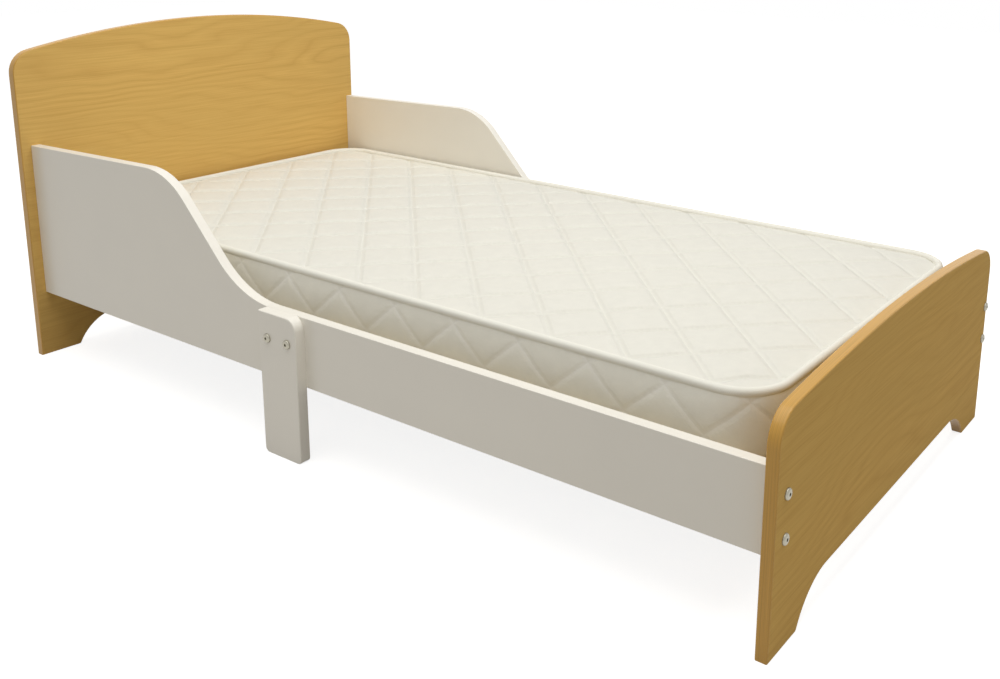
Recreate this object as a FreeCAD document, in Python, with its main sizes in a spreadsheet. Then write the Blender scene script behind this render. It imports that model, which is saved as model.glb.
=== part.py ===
# A toddler bed: two arched end boards, two side rails with raised guards at the head, a leg under the
# middle of the near rail, a slatted base on battens, and a quilted mattress that lies loose on it.
# Millimetres. X runs across the bed, with the near side at -X, Y along it, with the head at +Y, and Z up
# from the floor. The origin is on the floor under the bed's middle.
import FreeCAD, Part
import Sketcher
import math
import os
import re

SIZES = {
    # The bed as a whole
    "inner_length": 1410,
    "board_width": 752,
    "board_thickness": 16,
    "edge_bevel": 1.5,
    # The end boards: an arch over rounded shoulders, and a cut-out that leaves two feet
    "headboard_height": 577,
    "headboard_arch_radius": 1700,
    "footboard_height": 308,
    "footboard_arch_radius": 3200,
    "shoulder_radius": 40,
    "foot_width": 72,
    "cutout_height": 47,
    "cutout_radius": 87,
    "toe_radius": 4,
    # The side rails: low at the foot, with an S-curve up to the guard at the head
    "rail_thickness": 16,
    "rail_bottom": 115,
    "rail_low_top": 221,
    "guard_height_at_head": 379,
    "guard_height_at_crest": 389.4,
    "curve_foot_place": 159,
    "curve_slope": 46,
    "crest_radius": 125,
    "dip_radius": 165,
    "near_rail_inset": 17,
    "far_rail_inset": 1,
    # The leg under the near rail
    "leg_thickness": 17,
    "leg_width": 78,
    "leg_place": 60,
    "leg_shoulder_radius": 18,
    "leg_foot_radius": 6,
    # The bolts, with button heads and hexagon sockets
    "bolt_diameter": 6,
    "bolt_length": 45,
    "leg_bolt_length": 30,
    "bolt_head_diameter": 14,
    "bolt_head_height": 3.4,
    "bolt_head_flat": 7.4,
    "bolt_socket": 4,
    "bolt_socket_depth": 2.2,
    "bolt_hole_diameter": 6.5,
    "thread_clearance": 0.05,
    "upper_bolt_height": 192,
    "lower_bolt_height": 139,
    "leg_bolt_height": 182,
    "leg_bolt_spacing": 42,
    # The barrel nuts in the rails' ends and the insert nuts behind the leg
    "barrel_diameter": 10,
    "barrel_length": 13,
    "barrel_place": 28,
    "thread_depth": 8,
    "insert_diameter": 10,
    "insert_length": 12,
    "nut_clearance": 0.05,
    # The wooden dowels between rails and boards
    "dowel_diameter": 8,
    "dowel_length": 30,
    "dowel_in_board": 10,
    "dowel_clearance": 0.05,
    "dowel_end_gap": 0.5,
    "dowel_height": 335,
    # The battens inside the rails
    "ledger_width": 25,
    "ledger_height": 26,
    "ledger_end_gap": 45,
    "ledger_chamfer": 3,
    # The slats
    "slat_count": 13,
    "slat_width": 60,
    "slat_thickness": 14,
    "slat_top": 172,
    "slat_end_gap": 1,
    "slat_bevel": 2,
    "slat_end_margin": 3,
    # The two textile tapes that keep the slats apart
    "tape_width": 22,
    "tape_thickness": 0.8,
    "tape_place": 150,
    # The mattress: border drawn in at its two seams, crown, channels and piping
    "mattress_corner_radius": 66,
    "mattress_edge_height": 87,
    "mattress_crown": 5,
    "mattress_shoulder": 3,
    "mattress_margin": 34,
    "mattress_shoulder_inset": 12,
    "seam_draw": 5,
    "mattress_gap_at_head": 10,
    "mattress_gap_at_foot": 34,
    "mattress_gap_at_near_rail": 36,
    "mattress_gap_at_far_rail": 5.5,
    "soft_clearance": 0.3,
    "piping_radius": 4,
    "cover_wall": 12,
    "quilt_pitch_along": 117,
    "quilt_pitch_across": 112,
    "channel_width": 11,
    "channel_depth": 2.6,
    "border_pitch": 109,
    "border_channel_width": 5,
    "border_channel_depth": 2.4,
    # How far a cut runs past what it cuts
    "overrun": 5,
}

doc = FreeCAD.newDocument("KidsBed")
sheet = doc.addObject("Spreadsheet::Sheet", "Sizes")
for row, (name, number) in enumerate(SIZES.items(), start=1):
    sheet.set(f"A{row}", name)
    sheet.set(f"B{row}", str(number))
    sheet.setAlias(f"B{row}", name)
doc.recompute()

UP = FreeCAD.Vector(0, 0, 1)
AHEAD = FreeCAD.Vector(0, 1, 0)
ACROSS = FreeCAD.Vector(1, 0, 0)

# Sizes and places that follow from the others
FOLLOWING = {
    "near_rail_outside": "near_rail_inset - board_width / 2",
    "near_rail_middle": "near_rail_outside + rail_thickness / 2",
    "near_rail_inside": "near_rail_outside + rail_thickness",
    "far_rail_outside": "board_width / 2 - far_rail_inset",
    "far_rail_middle": "far_rail_outside - rail_thickness / 2",
    "far_rail_inside": "far_rail_outside - rail_thickness",
    "clear_width": "far_rail_inside - near_rail_inside",
    "ledger_length": "inner_length - 2 * ledger_end_gap",
    "ledger_bottom": "slat_top - slat_thickness - ledger_height",
    "slat_length": "clear_width - 2 * slat_end_gap",
    "slat_row": "ledger_length - slat_width - 2 * slat_end_margin",
    "slat_pitch": "slat_row / (slat_count - 1)",
    "mattress_length": "inner_length - mattress_gap_at_head - mattress_gap_at_foot",
    "mattress_width": "clear_width - mattress_gap_at_near_rail - mattress_gap_at_far_rail",
    "mattress_top": "mattress_edge_height + mattress_crown",
}


def bind(text):
    """The text as an expression on the sheet, with each size's name turned into its cell's, and each
    size that follows from others turned into what it follows from."""

    def cell(word):
        if word[0] in FOLLOWING:
            return f"({bind(FOLLOWING[word[0]])})"
        return f"Sizes.{word[0]}" if word[0] in SIZES else word[0]

    return re.sub(r"[a-z]\w*", cell, text)


def value(text):
    """What an expression in the sizes comes to."""
    return float(sheet.evalExpression(bind(text)))


BOLT_HEIGHTS = ["upper_bolt_height", "lower_bolt_height"]
LEG_BOLT_PLACES = ["leg_place - leg_bolt_spacing / 2", "leg_place + leg_bolt_spacing / 2"]


def new_body(label, x="0", y="0", z="0", turned=0):
    """A body with its label, placed by expressions and turned about the vertical."""
    body = doc.addObject("PartDesign::Body", label)
    body.Label = label
    body.Placement = FreeCAD.Placement(FreeCAD.Vector(), FreeCAD.Rotation(UP, turned))
    for axis, text in zip("xyz", (x, y, z)):
        body.setExpression(f"Placement.Base.{axis}", bind(text))
    return body


def attach(body, sketch, plane, offset="0", turned=0):
    """Puts a sketch on one of its body's origin planes, turned about the plane's own upright and then
    moved along its normal."""
    support = [feature for feature in body.Origin.OriginFeatures if feature.Role == plane][0]
    sketch.AttachmentSupport = [(support, "")]
    sketch.MapMode = "FlatFace"
    sketch.AttachmentOffset = FreeCAD.Placement(FreeCAD.Vector(), FreeCAD.Rotation(AHEAD, turned))
    sketch.setExpression("AttachmentOffset.Base.x", bind(f"({offset}) * sin({turned})"))
    sketch.setExpression("AttachmentOffset.Base.z", bind(f"({offset}) * cos({turned})"))


def fix_point(sketch, side, end, across, up):
    """Ties one end of a side to a place given in the sizes."""
    for kind, text in (("DistanceX", across), ("DistanceY", up)):
        index = sketch.addConstraint(Sketcher.Constraint(kind, -1, 1, side, end, value(text)))
        sketch.setExpression(f"Constraints[{index}]", bind(text))


def outline(body, name, plane, corners, offset="0", turned=0):
    """A closed outline through the corners. A corner with a third entry starts an arc of that radius,
    which turns left where the radius is positive and right where it is negative."""
    sketch = body.newObject("Sketcher::SketchObject", name)
    attach(body, sketch, plane, offset, turned)
    points = [FreeCAD.Vector(value(corner[0]), value(corner[1]), 0) for corner in corners]
    starts = []
    for side, corner in enumerate(corners):
        start = points[side]
        end = points[(side + 1) % len(points)]
        if len(corner) == 2:
            sketch.addGeometry(Part.LineSegment(start, end), False)
            starts.append(1)
            continue
        radius = value(corner[2])
        chord = end - start
        left = FreeCAD.Vector(-chord.y, chord.x, 0).normalize()
        rise = math.sqrt(radius**2 - (chord.Length / 2) ** 2)
        centre = (start + end) / 2 + left * math.copysign(rise, radius)
        first, last = (start, end) if radius > 0 else (end, start)
        angles = [math.atan2(point.y - centre.y, point.x - centre.x) for point in (first, last)]
        circle = Part.Circle(centre, UP, abs(radius))
        sketch.addGeometry(Part.ArcOfCircle(circle, angles[0], angles[1]), False)
        starts.append(1 if radius > 0 else 2)
    for side, corner in enumerate(corners):
        following = (side + 1) % len(corners)
        sketch.addConstraint(
            Sketcher.Constraint("Coincident", side, 3 - starts[side], following, starts[following])
        )
        fix_point(sketch, side, starts[side], corner[0], corner[1])
        if len(corner) == 3:
            index = sketch.addConstraint(Sketcher.Constraint("Radius", side, abs(value(corner[2]))))
            sketch.setExpression(f"Constraints[{index}]", bind(f"abs({corner[2]})"))
    return sketch


def circles(body, name, plane, centres, diameter, offset="0"):
    """A sketch of equal circles."""
    sketch = body.newObject("Sketcher::SketchObject", name)
    attach(body, sketch, plane, offset)
    for side, (across, up) in enumerate(centres):
        centre = FreeCAD.Vector(value(across), value(up), 0)
        sketch.addGeometry(Part.Circle(centre, UP, value(diameter) / 2), False)
        fix_point(sketch, side, 3, across, up)
        index = sketch.addConstraint(Sketcher.Constraint("Diameter", side, value(diameter)))
        sketch.setExpression(f"Constraints[{index}]", bind(diameter))
    return sketch


def rounded_rectangle(inset):
    """The corners of the mattress's plan, drawn in by an inset. It starts in the middle of its +X side."""
    half_width = f"(mattress_width / 2 - ({inset}))"
    half_length = f"(mattress_length / 2 - ({inset}))"
    bend = f"(mattress_corner_radius - ({inset}))"
    return [
        (half_width, "0"),
        (half_width, f"{half_length} - {bend}", bend),
        (f"{half_width} - {bend}", half_length),
        (f"{bend} - {half_width}", half_length, bend),
        (f"-{half_width}", f"{half_length} - {bend}"),
        (f"-{half_width}", f"{bend} - {half_length}", bend),
        (f"{bend} - {half_width}", f"-{half_length}"),
        (f"{half_width} - {bend}", f"-{half_length}", bend),
        (half_width, f"{bend} - {half_length}"),
    ]


def settle(feature):
    """Rebuilds the document and makes sure that the feature worked."""
    doc.recompute()
    if "Invalid" in feature.State or "Error" in feature.State or not feature.Shape.isValid():
        raise RuntimeError(f"{feature.Name} failed: {feature.getStatusString()}")
    return feature


def pad(body, name, sketch, length, reverse=False):
    """Builds a sketch up into a solid."""
    feature = body.newObject("PartDesign::Pad", name)
    feature.Profile = sketch
    feature.setExpression("Length", bind(length))
    feature.Reversed = reverse
    return settle(feature)


def pocket(body, name, sketch, depth, reverse=False):
    """Cuts a sketch into the body, and makes sure that it removed something."""
    before = body.Shape.Volume
    feature = body.newObject("PartDesign::Pocket", name)
    feature.Profile = sketch
    feature.setExpression("Length", bind(depth))
    feature.Reversed = reverse
    settle(feature)
    if not body.Shape.Volume < before:
        raise RuntimeError(f"{body.Label}: {name} cuts nothing")
    return feature


def revolve(body, name, sketch):
    """Turns a sketch in the XZ plane once round the vertical axis."""
    feature = body.newObject("PartDesign::Revolution", name)
    feature.Profile = sketch
    feature.ReferenceAxis = (sketch, ["V_Axis"])
    feature.Angle = 360
    return settle(feature)


def repeat(body, name, original, sketch, axis, spacing, count):
    """Repeats a feature in a row along one of its sketch's axes."""
    feature = body.newObject("PartDesign::LinearPattern", name)
    feature.Originals = [original]
    feature.Direction = (sketch, [axis])
    feature.Mode = "Spacing"
    feature.setExpression("Offset", bind(spacing))
    feature.Occurrences = count
    body.Tip = feature
    return settle(feature)


def soften(body, name, kind, radius, chosen):
    """Rounds or bevels the edges that chosen says yes to."""
    base = body.Tip
    names = [f"Edge{i}" for i, edge in enumerate(body.Shape.Edges, start=1) if chosen(edge)]
    if not names:
        raise RuntimeError(f"{body.Label}: {name} finds no edge")
    feature = body.newObject(f"PartDesign::{kind}", name)
    feature.Base = (base, names)
    feature.setExpression("Radius" if kind == "Fillet" else "Size", bind(radius))
    body.Tip = feature
    return settle(feature)


def same(first, second):
    """Whether two lengths are the same place on the bed."""
    return abs(first - second) < value("edge_bevel") / 100


def along(edge, axis):
    """Whether an edge is straight and runs along an axis of its body's frame."""
    if len(edge.Vertexes) < 2:
        return False
    span = edge.Vertexes[1].Point - edge.Vertexes[0].Point
    return same(span.Length, edge.Length) and same(abs(span * axis), span.Length)


def in_body(body, edge):
    """The middle of an edge's box in its body's own frame."""
    return body.Placement.inverse().multVec(edge.BoundBox.Center)


def end_board(label, height, arch_radius, side, bolts_at, dowels_at):
    """An end board, with its inner face in its own XZ plane and its outer face ahead of it. The side is 1
    for the head and -1 for the foot, which is turned round."""
    body = new_body(label, y=f"{side} * inner_length / 2", turned=0 if side > 0 else 180)
    half = "(board_width / 2)"
    arch_end = f"({height} - {arch_radius} + sqrt({arch_radius}^2 - {half}^2))"
    corners = [
        (f"-{half}", "0"),
        (half, "0"),
        (half, arch_end, arch_radius),
        (f"-{half}", arch_end),
    ]
    pad(body, "Board", outline(body, "BoardOutline", "XZ_Plane", corners), "board_thickness", True)

    # The cut-out: a flat top between two quarter-like sweeps down to the feet
    foot = f"({half} - foot_width)"
    sweep = "sqrt(cutout_radius^2 - (cutout_radius - cutout_height)^2)"
    corners = [
        (foot, "-overrun"),
        (foot, "0", "cutout_radius"),
        (f"{foot} - {sweep}", "cutout_height"),
        (f"{sweep} - {foot}", "cutout_height", "cutout_radius"),
        (f"-{foot}", "0"),
        (f"-{foot}", "-overrun"),
    ]
    sketch = outline(body, "CutoutOutline", "XZ_Plane", corners)
    pocket(body, "Cutout", sketch, "board_thickness")

    at_shoulder = lambda edge: along(edge, AHEAD) and edge.BoundBox.ZMin > value("cutout_height")
    soften(body, "Shoulders", "Fillet", "shoulder_radius", at_shoulder)
    half_cutout = value(f"{foot} + overrun")
    at_toe = lambda edge: (
        along(edge, AHEAD)
        and same(edge.BoundBox.ZMax, 0)
        and abs(in_body(body, edge).x) < half_cutout
    )
    soften(body, "Toes", "Fillet", "toe_radius", at_toe)
    faces = (0, value("board_thickness"))
    on_a_face = lambda edge: (
        same(edge.BoundBox.YLength, 0) and any(same(in_body(body, edge).y, face) for face in faces)
    )
    soften(body, "LongEdges", "Chamfer", "edge_bevel", on_a_face)

    holes = circles(body, "BoltCircles", "XZ_Plane", bolts_at, "bolt_hole_diameter")
    pocket(body, "BoltHoles", holes, "board_thickness")
    if dowels_at:
        holes = circles(body, "DowelCircles", "XZ_Plane", dowels_at, "dowel_diameter + 2 * dowel_clearance")
        pocket(body, "DowelHoles", holes, "dowel_in_board + dowel_end_gap")
    return body


def side_rail(label, outside, inside_face):
    """A side rail in its own YZ plane. Its low x face lies at outside, and inside_face is the name of the
    face that looks at the mattress, low or high."""
    body = new_body(label, x=outside)
    half = "(inner_length / 2)"
    slope = "tan(curve_slope)"
    # Where the slope would meet the guard's straight top
    fall = f"(guard_height_at_crest - rail_low_top) / {slope}"
    corners = [
        (f"-{half}", "rail_bottom"),
        (half, "rail_bottom"),
        (half, "guard_height_at_head"),
        (f"curve_foot_place + {fall}", "guard_height_at_crest"),
        ("curve_foot_place", "rail_low_top"),
        (f"-{half}", "rail_low_top"),
    ]
    pad(body, "Rail", outline(body, "RailOutline", "YZ_Plane", corners), "rail_thickness")

    crest = value(f"curve_foot_place + {fall}")
    at_crest = lambda edge: along(edge, ACROSS) and same(in_body(body, edge).y, crest)
    soften(body, "Crest", "Fillet", "crest_radius", at_crest)
    dip = value("curve_foot_place")
    at_dip = lambda edge: along(edge, ACROSS) and same(in_body(body, edge).y, dip)
    soften(body, "Dip", "Fillet", "dip_radius", at_dip)
    reach = value(half)
    on_a_face = lambda edge: (
        same(edge.BoundBox.XLength, 0) and not same(abs(in_body(body, edge).y), reach)
    )
    soften(body, "LongEdges", "Chamfer", "edge_bevel", on_a_face)

    # Bolt bores in both ends, and the dowel's hole in the guard's end
    middle = "rail_thickness / 2"
    for end, side in (("Head", 1), ("Foot", -1)):
        offset = f"{-side} * inner_length / 2"
        bolts = [(middle, height) for height in BOLT_HEIGHTS]
        holes = circles(body, f"{end}BoltCircles", "XZ_Plane", bolts, "bolt_hole_diameter", offset)
        pocket(body, f"{end}BoltBores", holes, "barrel_place", side > 0)
    bore = "dowel_diameter + 2 * dowel_clearance"
    holes = circles(body, "DowelCircle", "XZ_Plane", [(middle, "dowel_height")], bore, f"-{half}")
    pocket(body, "DowelBore", holes, "dowel_length - dowel_in_board + dowel_end_gap", True)

    # Barrel nut holes from the inside face
    from_high = inside_face == "high"
    offset = "rail_thickness" if from_high else "0"
    nuts = [(f"{side} * ({half} - barrel_place)", height) for side in (1, -1) for height in BOLT_HEIGHTS]
    holes = circles(body, "NutCircles", "YZ_Plane", nuts, "barrel_diameter + 2 * nut_clearance", offset)
    pocket(body, "NutHoles", holes, "barrel_length + dowel_end_gap", not from_high)
    return body


def slat_place(index):
    """The middle of a slat along the bed, counted from the foot."""
    return f"({index} * slat_pitch + slat_width / 2 + slat_end_margin - ledger_length / 2)"


def ledger(label, x, free_side):
    """A batten inside a rail. The free side is 1 where its free face looks to +X and -1 to -X."""
    body = new_body(label, x=x, z="ledger_bottom")
    half = "(ledger_length / 2)"
    corners = [("0", "0"), ("ledger_width", "0"), ("ledger_width", "ledger_height"), ("0", "ledger_height")]
    sketch = outline(body, "Section", "XZ_Plane", corners, offset=f"-{half}")
    pad(body, "Batten", sketch, "ledger_length")
    free_face = value("ledger_width") if free_side > 0 else 0
    at_free_corner = lambda edge: (
        along(edge, AHEAD) and same(in_body(body, edge).x, free_face) and same(in_body(body, edge).z, 0)
    )
    soften(body, "Bevel", "Chamfer", "ledger_chamfer", at_free_corner)
    return body


def slat(index):
    """One slat of the base, counted from the foot, with its long edges bevelled."""
    body = new_body(
        f"slat_{index + 1:02d}",
        x="near_rail_inside + slat_end_gap",
        y=slat_place(index),
        z="slat_top - slat_thickness",
    )
    half = "(slat_width / 2)"
    corners = [(f"-{half}", "0"), (half, "0"), (half, "slat_thickness"), (f"-{half}", "slat_thickness")]
    pad(body, "Slat", outline(body, "Section", "YZ_Plane", corners), "slat_length")
    soften(body, "LongEdges", "Chamfer", "slat_bevel", lambda edge: along(edge, ACROSS))
    return body


def slat_tapes():
    """The two tapes that lie along the slats, one near each rail."""
    body = new_body("slat_tapes", z="slat_top")
    reach = f"({slat_place(int(value('slat_count')) - 1)} + slat_width / 2)"
    for name, middle in (
        ("Near", "(near_rail_inside + tape_place)"),
        ("Far", "(far_rail_inside - tape_place)"),
    ):
        half = "(tape_width / 2)"
        corners = [
            (f"{middle} - {half}", f"-{reach}"),
            (f"{middle} + {half}", f"-{reach}"),
            (f"{middle} + {half}", reach),
            (f"{middle} - {half}", reach),
        ]
        pad(body, f"{name}Tape", outline(body, f"{name}Outline", "XY_Plane", corners), "tape_thickness")
    return body


def support_leg():
    """The leg on the outside of the near rail, with one round shoulder and rounded toes."""
    body = new_body("support_leg", x="near_rail_outside - leg_thickness", y="leg_place")
    half = "(leg_width / 2)"
    corners = [(f"-{half}", "0"), (half, "0"), (half, "rail_low_top"), (f"-{half}", "rail_low_top")]
    pad(body, "Leg", outline(body, "LegOutline", "YZ_Plane", corners), "leg_thickness")
    middle = value("rail_low_top / 2")
    at_shoulder = lambda edge: (
        along(edge, ACROSS) and in_body(body, edge).y < 0 and in_body(body, edge).z > middle
    )
    soften(body, "Shoulder", "Fillet", "leg_shoulder_radius", at_shoulder)
    at_toes = lambda edge: along(edge, ACROSS) and same(in_body(body, edge).z, 0)
    soften(body, "Toes", "Fillet", "leg_foot_radius", at_toes)
    on_outside = lambda edge: same(edge.BoundBox.XLength, 0) and same(in_body(body, edge).x, 0)
    soften(body, "OuterEdges", "Chamfer", "edge_bevel", on_outside)
    places = [(f"{place} - leg_place", "leg_bolt_height") for place in LEG_BOLT_PLACES]
    holes = circles(body, "BoltCircles", "YZ_Plane", places, "bolt_hole_diameter")
    pocket(body, "BoltHoles", holes, "leg_thickness", True)
    return body


def leg_holes_in_rail(rail):
    """Stepped holes in the near rail for the leg's bolts and their inserts."""
    places = [(place, "leg_bolt_height") for place in LEG_BOLT_PLACES]
    holes = circles(rail, "LegBoltCircles", "YZ_Plane", places, "bolt_hole_diameter", "rail_thickness")
    pocket(rail, "LegBoltHoles", holes, "rail_thickness")
    bore = "insert_diameter + 2 * nut_clearance"
    holes = circles(rail, "InsertCircles", "YZ_Plane", places, bore, "rail_thickness")
    pocket(rail, "InsertHoles", holes, "insert_length + nut_clearance")


def bolt(name, length):
    """A button-head bolt that points down, with its head's underside in its XY plane."""
    body = new_body(name)
    corners = [
        ("0", f"-{length}"),
        ("bolt_diameter / 2", f"-{length}"),
        ("bolt_diameter / 2", "0"),
        ("bolt_head_diameter / 2", "0"),
        ("bolt_head_flat / 2", "bolt_head_height"),
        ("0", "bolt_head_height"),
    ]
    revolve(body, "Turned", outline(body, "Profile", "XZ_Plane", corners))
    flat = "(bolt_socket / 2)"
    side = "(bolt_socket / sqrt(3) / 2)"
    corners = [
        (flat, f"-{side}"),
        (flat, side),
        ("0", f"2 * {side}"),
        (f"-{flat}", side),
        (f"-{flat}", f"-{side}"),
        ("0", f"-2 * {side}"),
    ]
    socket = outline(body, "SocketOutline", "XY_Plane", corners, offset="bolt_head_height")
    pocket(body, "Socket", socket, "bolt_socket_depth")
    return body


def barrel_nut(name, side):
    """A barrel nut that points down from its XY plane. Its thread opens to +Y where the side is 1 and to -Y
    where it is -1."""
    body = new_body(name)
    section = circles(body, "Round", "XY_Plane", [("0", "0")], "barrel_diameter")
    pad(body, "Barrel", section, "barrel_length", True)
    bore = "bolt_diameter + 2 * thread_clearance"
    offset = f"{-side} * barrel_diameter / 2"
    thread = circles(body, "ThreadCircle", "XZ_Plane", [("0", "-rail_thickness / 2")], bore, offset)
    pocket(body, "Thread", thread, "thread_depth", side > 0)
    return body


def insert_nut():
    """A threaded insert that points down from its XY plane."""
    body = new_body("insert_nut")
    inner = "bolt_diameter / 2 + thread_clearance"
    corners = [
        (inner, "-insert_length"),
        ("insert_diameter / 2", "-insert_length"),
        ("insert_diameter / 2", "0"),
        (inner, "0"),
    ]
    revolve(body, "Turned", outline(body, "Profile", "XZ_Plane", corners))
    return body


def dowel():
    """A wooden dowel that points down from its XY plane."""
    body = new_body("dowel")
    section = circles(body, "Round", "XY_Plane", [("0", "0")], "dowel_diameter")
    pad(body, "Peg", section, "dowel_length", True)
    return body


def copies(pattern, places, carrier=None):
    """Copies of a fastener's shape, each at a place and with its top turned to the direction that the
    place ends with, in the frame of the piece that carries them."""
    shapes = []
    for *place, top in places:
        at = FreeCAD.Vector(*(value(text) for text in place))
        placement = FreeCAD.Placement(at, FreeCAD.Rotation(UP, top))
        shape = pattern.Shape.copy()
        shape.Placement = carrier.multiply(placement) if carrier else placement
        shapes.append(shape)
    return shapes


def group(label, shapes):
    """One node of separate fasteners."""
    feature = doc.addObject("Part::Feature", label)
    feature.Label = label
    feature.Shape = Part.makeCompound(shapes)
    feature.Placement = FreeCAD.Placement()
    return feature


PIPING_SIDES = 6
PIPING_HEIGHTS = {"Top": "mattress_edge_height", "Bottom": "piping_radius"}


def sweep_bead(body, name, kind, height, radius):
    """A six-sided bead, with a flat on top, swept along a seam of the mattress, as a solid or as a cut."""
    spine = outline(body, f"{name}Seam", "XY_Plane", rounded_rectangle("seam_draw"), offset=height)
    corners = []
    for corner in range(PIPING_SIDES):
        angle = corner * 360 / PIPING_SIDES
        reach = f"({radius}) / cos({180 / PIPING_SIDES})"
        across = f"mattress_width / 2 - seam_draw + {reach} * cos({angle})"
        corners.append((across, f"{height} + {reach} * sin({angle})"))
    bead = outline(body, f"{name}Section", "XZ_Plane", corners)
    feature = body.newObject(kind, name)
    feature.Profile = bead
    feature.Spine = spine
    return settle(feature)


def piping(label, height):
    """The bead round a seam of the mattress."""
    body = mattress_body(label)
    sweep_bead(body, "Bead", "PartDesign::AdditivePipe", height, "piping_radius")
    return body


def mattress_body(label):
    """A body in the mattress's own frame, whose origin is under its middle."""
    return new_body(
        label,
        x="far_rail_inside - mattress_gap_at_far_rail - mattress_width / 2",
        y="inner_length / 2 - mattress_gap_at_head - mattress_length / 2",
        z="slat_top + tape_thickness + soft_clearance",
    )


def mattress_cover():
    """The quilted cover: a border that swells between its seams, a crowned top with diamond channels, a
    zigzag of channels round the border, seats for the piping, and the room for the core."""
    body = mattress_body("mattress_cover")
    levels = [
        ("seam_draw", "0"),
        ("0", "mattress_edge_height / 2"),
        ("seam_draw", "mattress_edge_height"),
        ("mattress_shoulder_inset", "mattress_edge_height + mattress_shoulder"),
        ("mattress_margin", "mattress_edge_height + mattress_crown"),
    ]
    sections = [
        outline(body, f"Level{number}", "XY_Plane", rounded_rectangle(inset), offset=height)
        for number, (inset, height) in enumerate(levels)
    ]
    form = body.newObject("PartDesign::AdditiveLoft", "Form")
    form.Profile = sections[0]
    form.Sections = sections[1:]
    form.Ruled = True
    doc.recompute()

    # Seats for the piping, and the room for the core
    for name, height in PIPING_HEIGHTS.items():
        seat = "piping_radius + soft_clearance"
        sweep_bead(body, f"{name}Seat", "PartDesign::SubtractivePipe", height, seat)
    top = "mattress_top"
    room = outline(body, "RoomOutline", "XY_Plane", rounded_rectangle("cover_wall"), offset="cover_wall")
    pocket(body, "Room", room, f"{top} - 2 * cover_wall", True)

    # Slanting channels across the border's four sides, which cross and make a row of diamonds
    for number, (out, run) in enumerate([("width", "length"), ("length", "width")] * 2):
        border_channels(body, number, f"mattress_{out}", f"mattress_{run}")

    # Diamond channels across the top, in two families of parallel grooves
    lean = "atan(quilt_pitch_across / quilt_pitch_along)"
    spacing = f"(quilt_pitch_along * sin({lean}))"
    reach = value("sqrt(mattress_length^2 + mattress_width^2) / 2")
    each_way = math.ceil(reach / value(spacing))
    for family, sign in (("Left", 1), ("Right", -1)):
        start = f"(-{each_way} * {spacing})"
        corners = [
            (f"{start} - channel_width / 2", f"{top} + overrun"),
            (f"{start} - channel_width / 2", top),
            (start, f"{top} - channel_depth"),
            (f"{start} + channel_width / 2", top),
            (f"{start} + channel_width / 2", f"{top} + overrun"),
        ]
        groove = outline(body, f"{family}Groove", "XZ_Plane", corners, turned=sign * value(lean))
        cut = body.newObject("PartDesign::Pocket", f"{family}Channel")
        cut.Profile = groove
        cut.SideType = "Symmetric"
        cut.setExpression("Length", bind("2 * mattress_length"))
        repeat(body, f"{family}Channels", cut, groove, "H_Axis", spacing, 2 * each_way + 1)
    return body


def border_channels(body, quarter, across, length):
    """Channels in one side of the border, cut square to it. The quarter counts turns about the vertical."""
    lean = "(border_pitch / 2)"
    straight = value(f"{length} / 2 - mattress_corner_radius")
    each_way = int((straight - value(lean)) / value("border_pitch"))
    for family, sign in (("Rising", 1), ("Falling", -1)):
        start = f"(-{each_way} * border_pitch)"
        half = "(border_channel_width / 2)"
        foot = f"({start} - {sign} * {lean})"
        head = f"({start} + {sign} * {lean})"
        corners = [
            (f"{foot} - {half}", "0"),
            (f"{foot} + {half}", "0"),
            (f"{head} + {half}", "mattress_edge_height"),
            (f"{head} - {half}", "mattress_edge_height"),
        ]
        plane = f"{across} / 2 - border_channel_depth"
        strip = outline(body, f"{family}Strip{quarter}", "XZ_Plane", corners, plane, 90 * quarter + 90)
        cut = pocket(body, f"{family}Cut{quarter}", strip, "border_channel_depth + overrun", True)
        repeat(body, f"{family}Cuts{quarter}", cut, strip, "H_Axis", "border_pitch", 2 * each_way + 1)


def mattress_core():
    """The foam block in the cover."""
    body = mattress_body("mattress_core")
    inset = "cover_wall + soft_clearance"
    block = outline(body, "Plan", "XY_Plane", rounded_rectangle(inset), offset=inset)
    pad(body, "Foam", block, f"mattress_edge_height + mattress_crown - 2 * ({inset})")
    return body


# Fasteners that are used more than once
board_bolt = bolt("board_bolt", "bolt_length")
leg_bolt = bolt("leg_bolt", "leg_bolt_length")
cross_nuts = {1: barrel_nut("head_nut", 1), -1: barrel_nut("foot_nut", -1)}
leg_insert = insert_nut()
wood_dowel = dowel()

nodes = []
bolts = []
nuts = []
dowels = []

# The end boards with their bolts and dowels, in the boards' own frames
for name, height, arch, side in (
    ("headboard", "headboard_height", "headboard_arch_radius", 1),
    ("footboard", "footboard_height", "footboard_arch_radius", -1),
):
    rails = [f"{side} * near_rail_middle", f"{side} * far_rail_middle"]
    bolt_places = [(rail, level) for rail in rails for level in BOLT_HEIGHTS]
    dowel_places = [(rail, "dowel_height") for rail in rails] if side > 0 else []
    board = end_board(name, height, arch, side, bolt_places, dowel_places)
    nodes.append(board)
    placed = [(rail, "board_thickness", level, AHEAD) for rail, level in bolt_places]
    bolts += copies(board_bolt, placed, board.Placement)
    placed = [(rail, "dowel_in_board", level, AHEAD) for rail, level in dowel_places]
    dowels += copies(wood_dowel, placed, board.Placement)

# The rails with their nuts
near_rail = side_rail("side_rail_left", "near_rail_outside", "high")
far_rail = side_rail("side_rail_right", "far_rail_inside", "low")
leg_holes_in_rail(near_rail)
nodes += [near_rail, far_rail, support_leg()]
for side in (1, -1):
    place = f"{side} * (inner_length / 2 - barrel_place)"
    places = [("near_rail_inside", place, level, ACROSS) for level in BOLT_HEIGHTS]
    places += [("far_rail_inside", place, level, -ACROSS) for level in BOLT_HEIGHTS]
    nuts += copies(cross_nuts[side], places)

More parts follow.
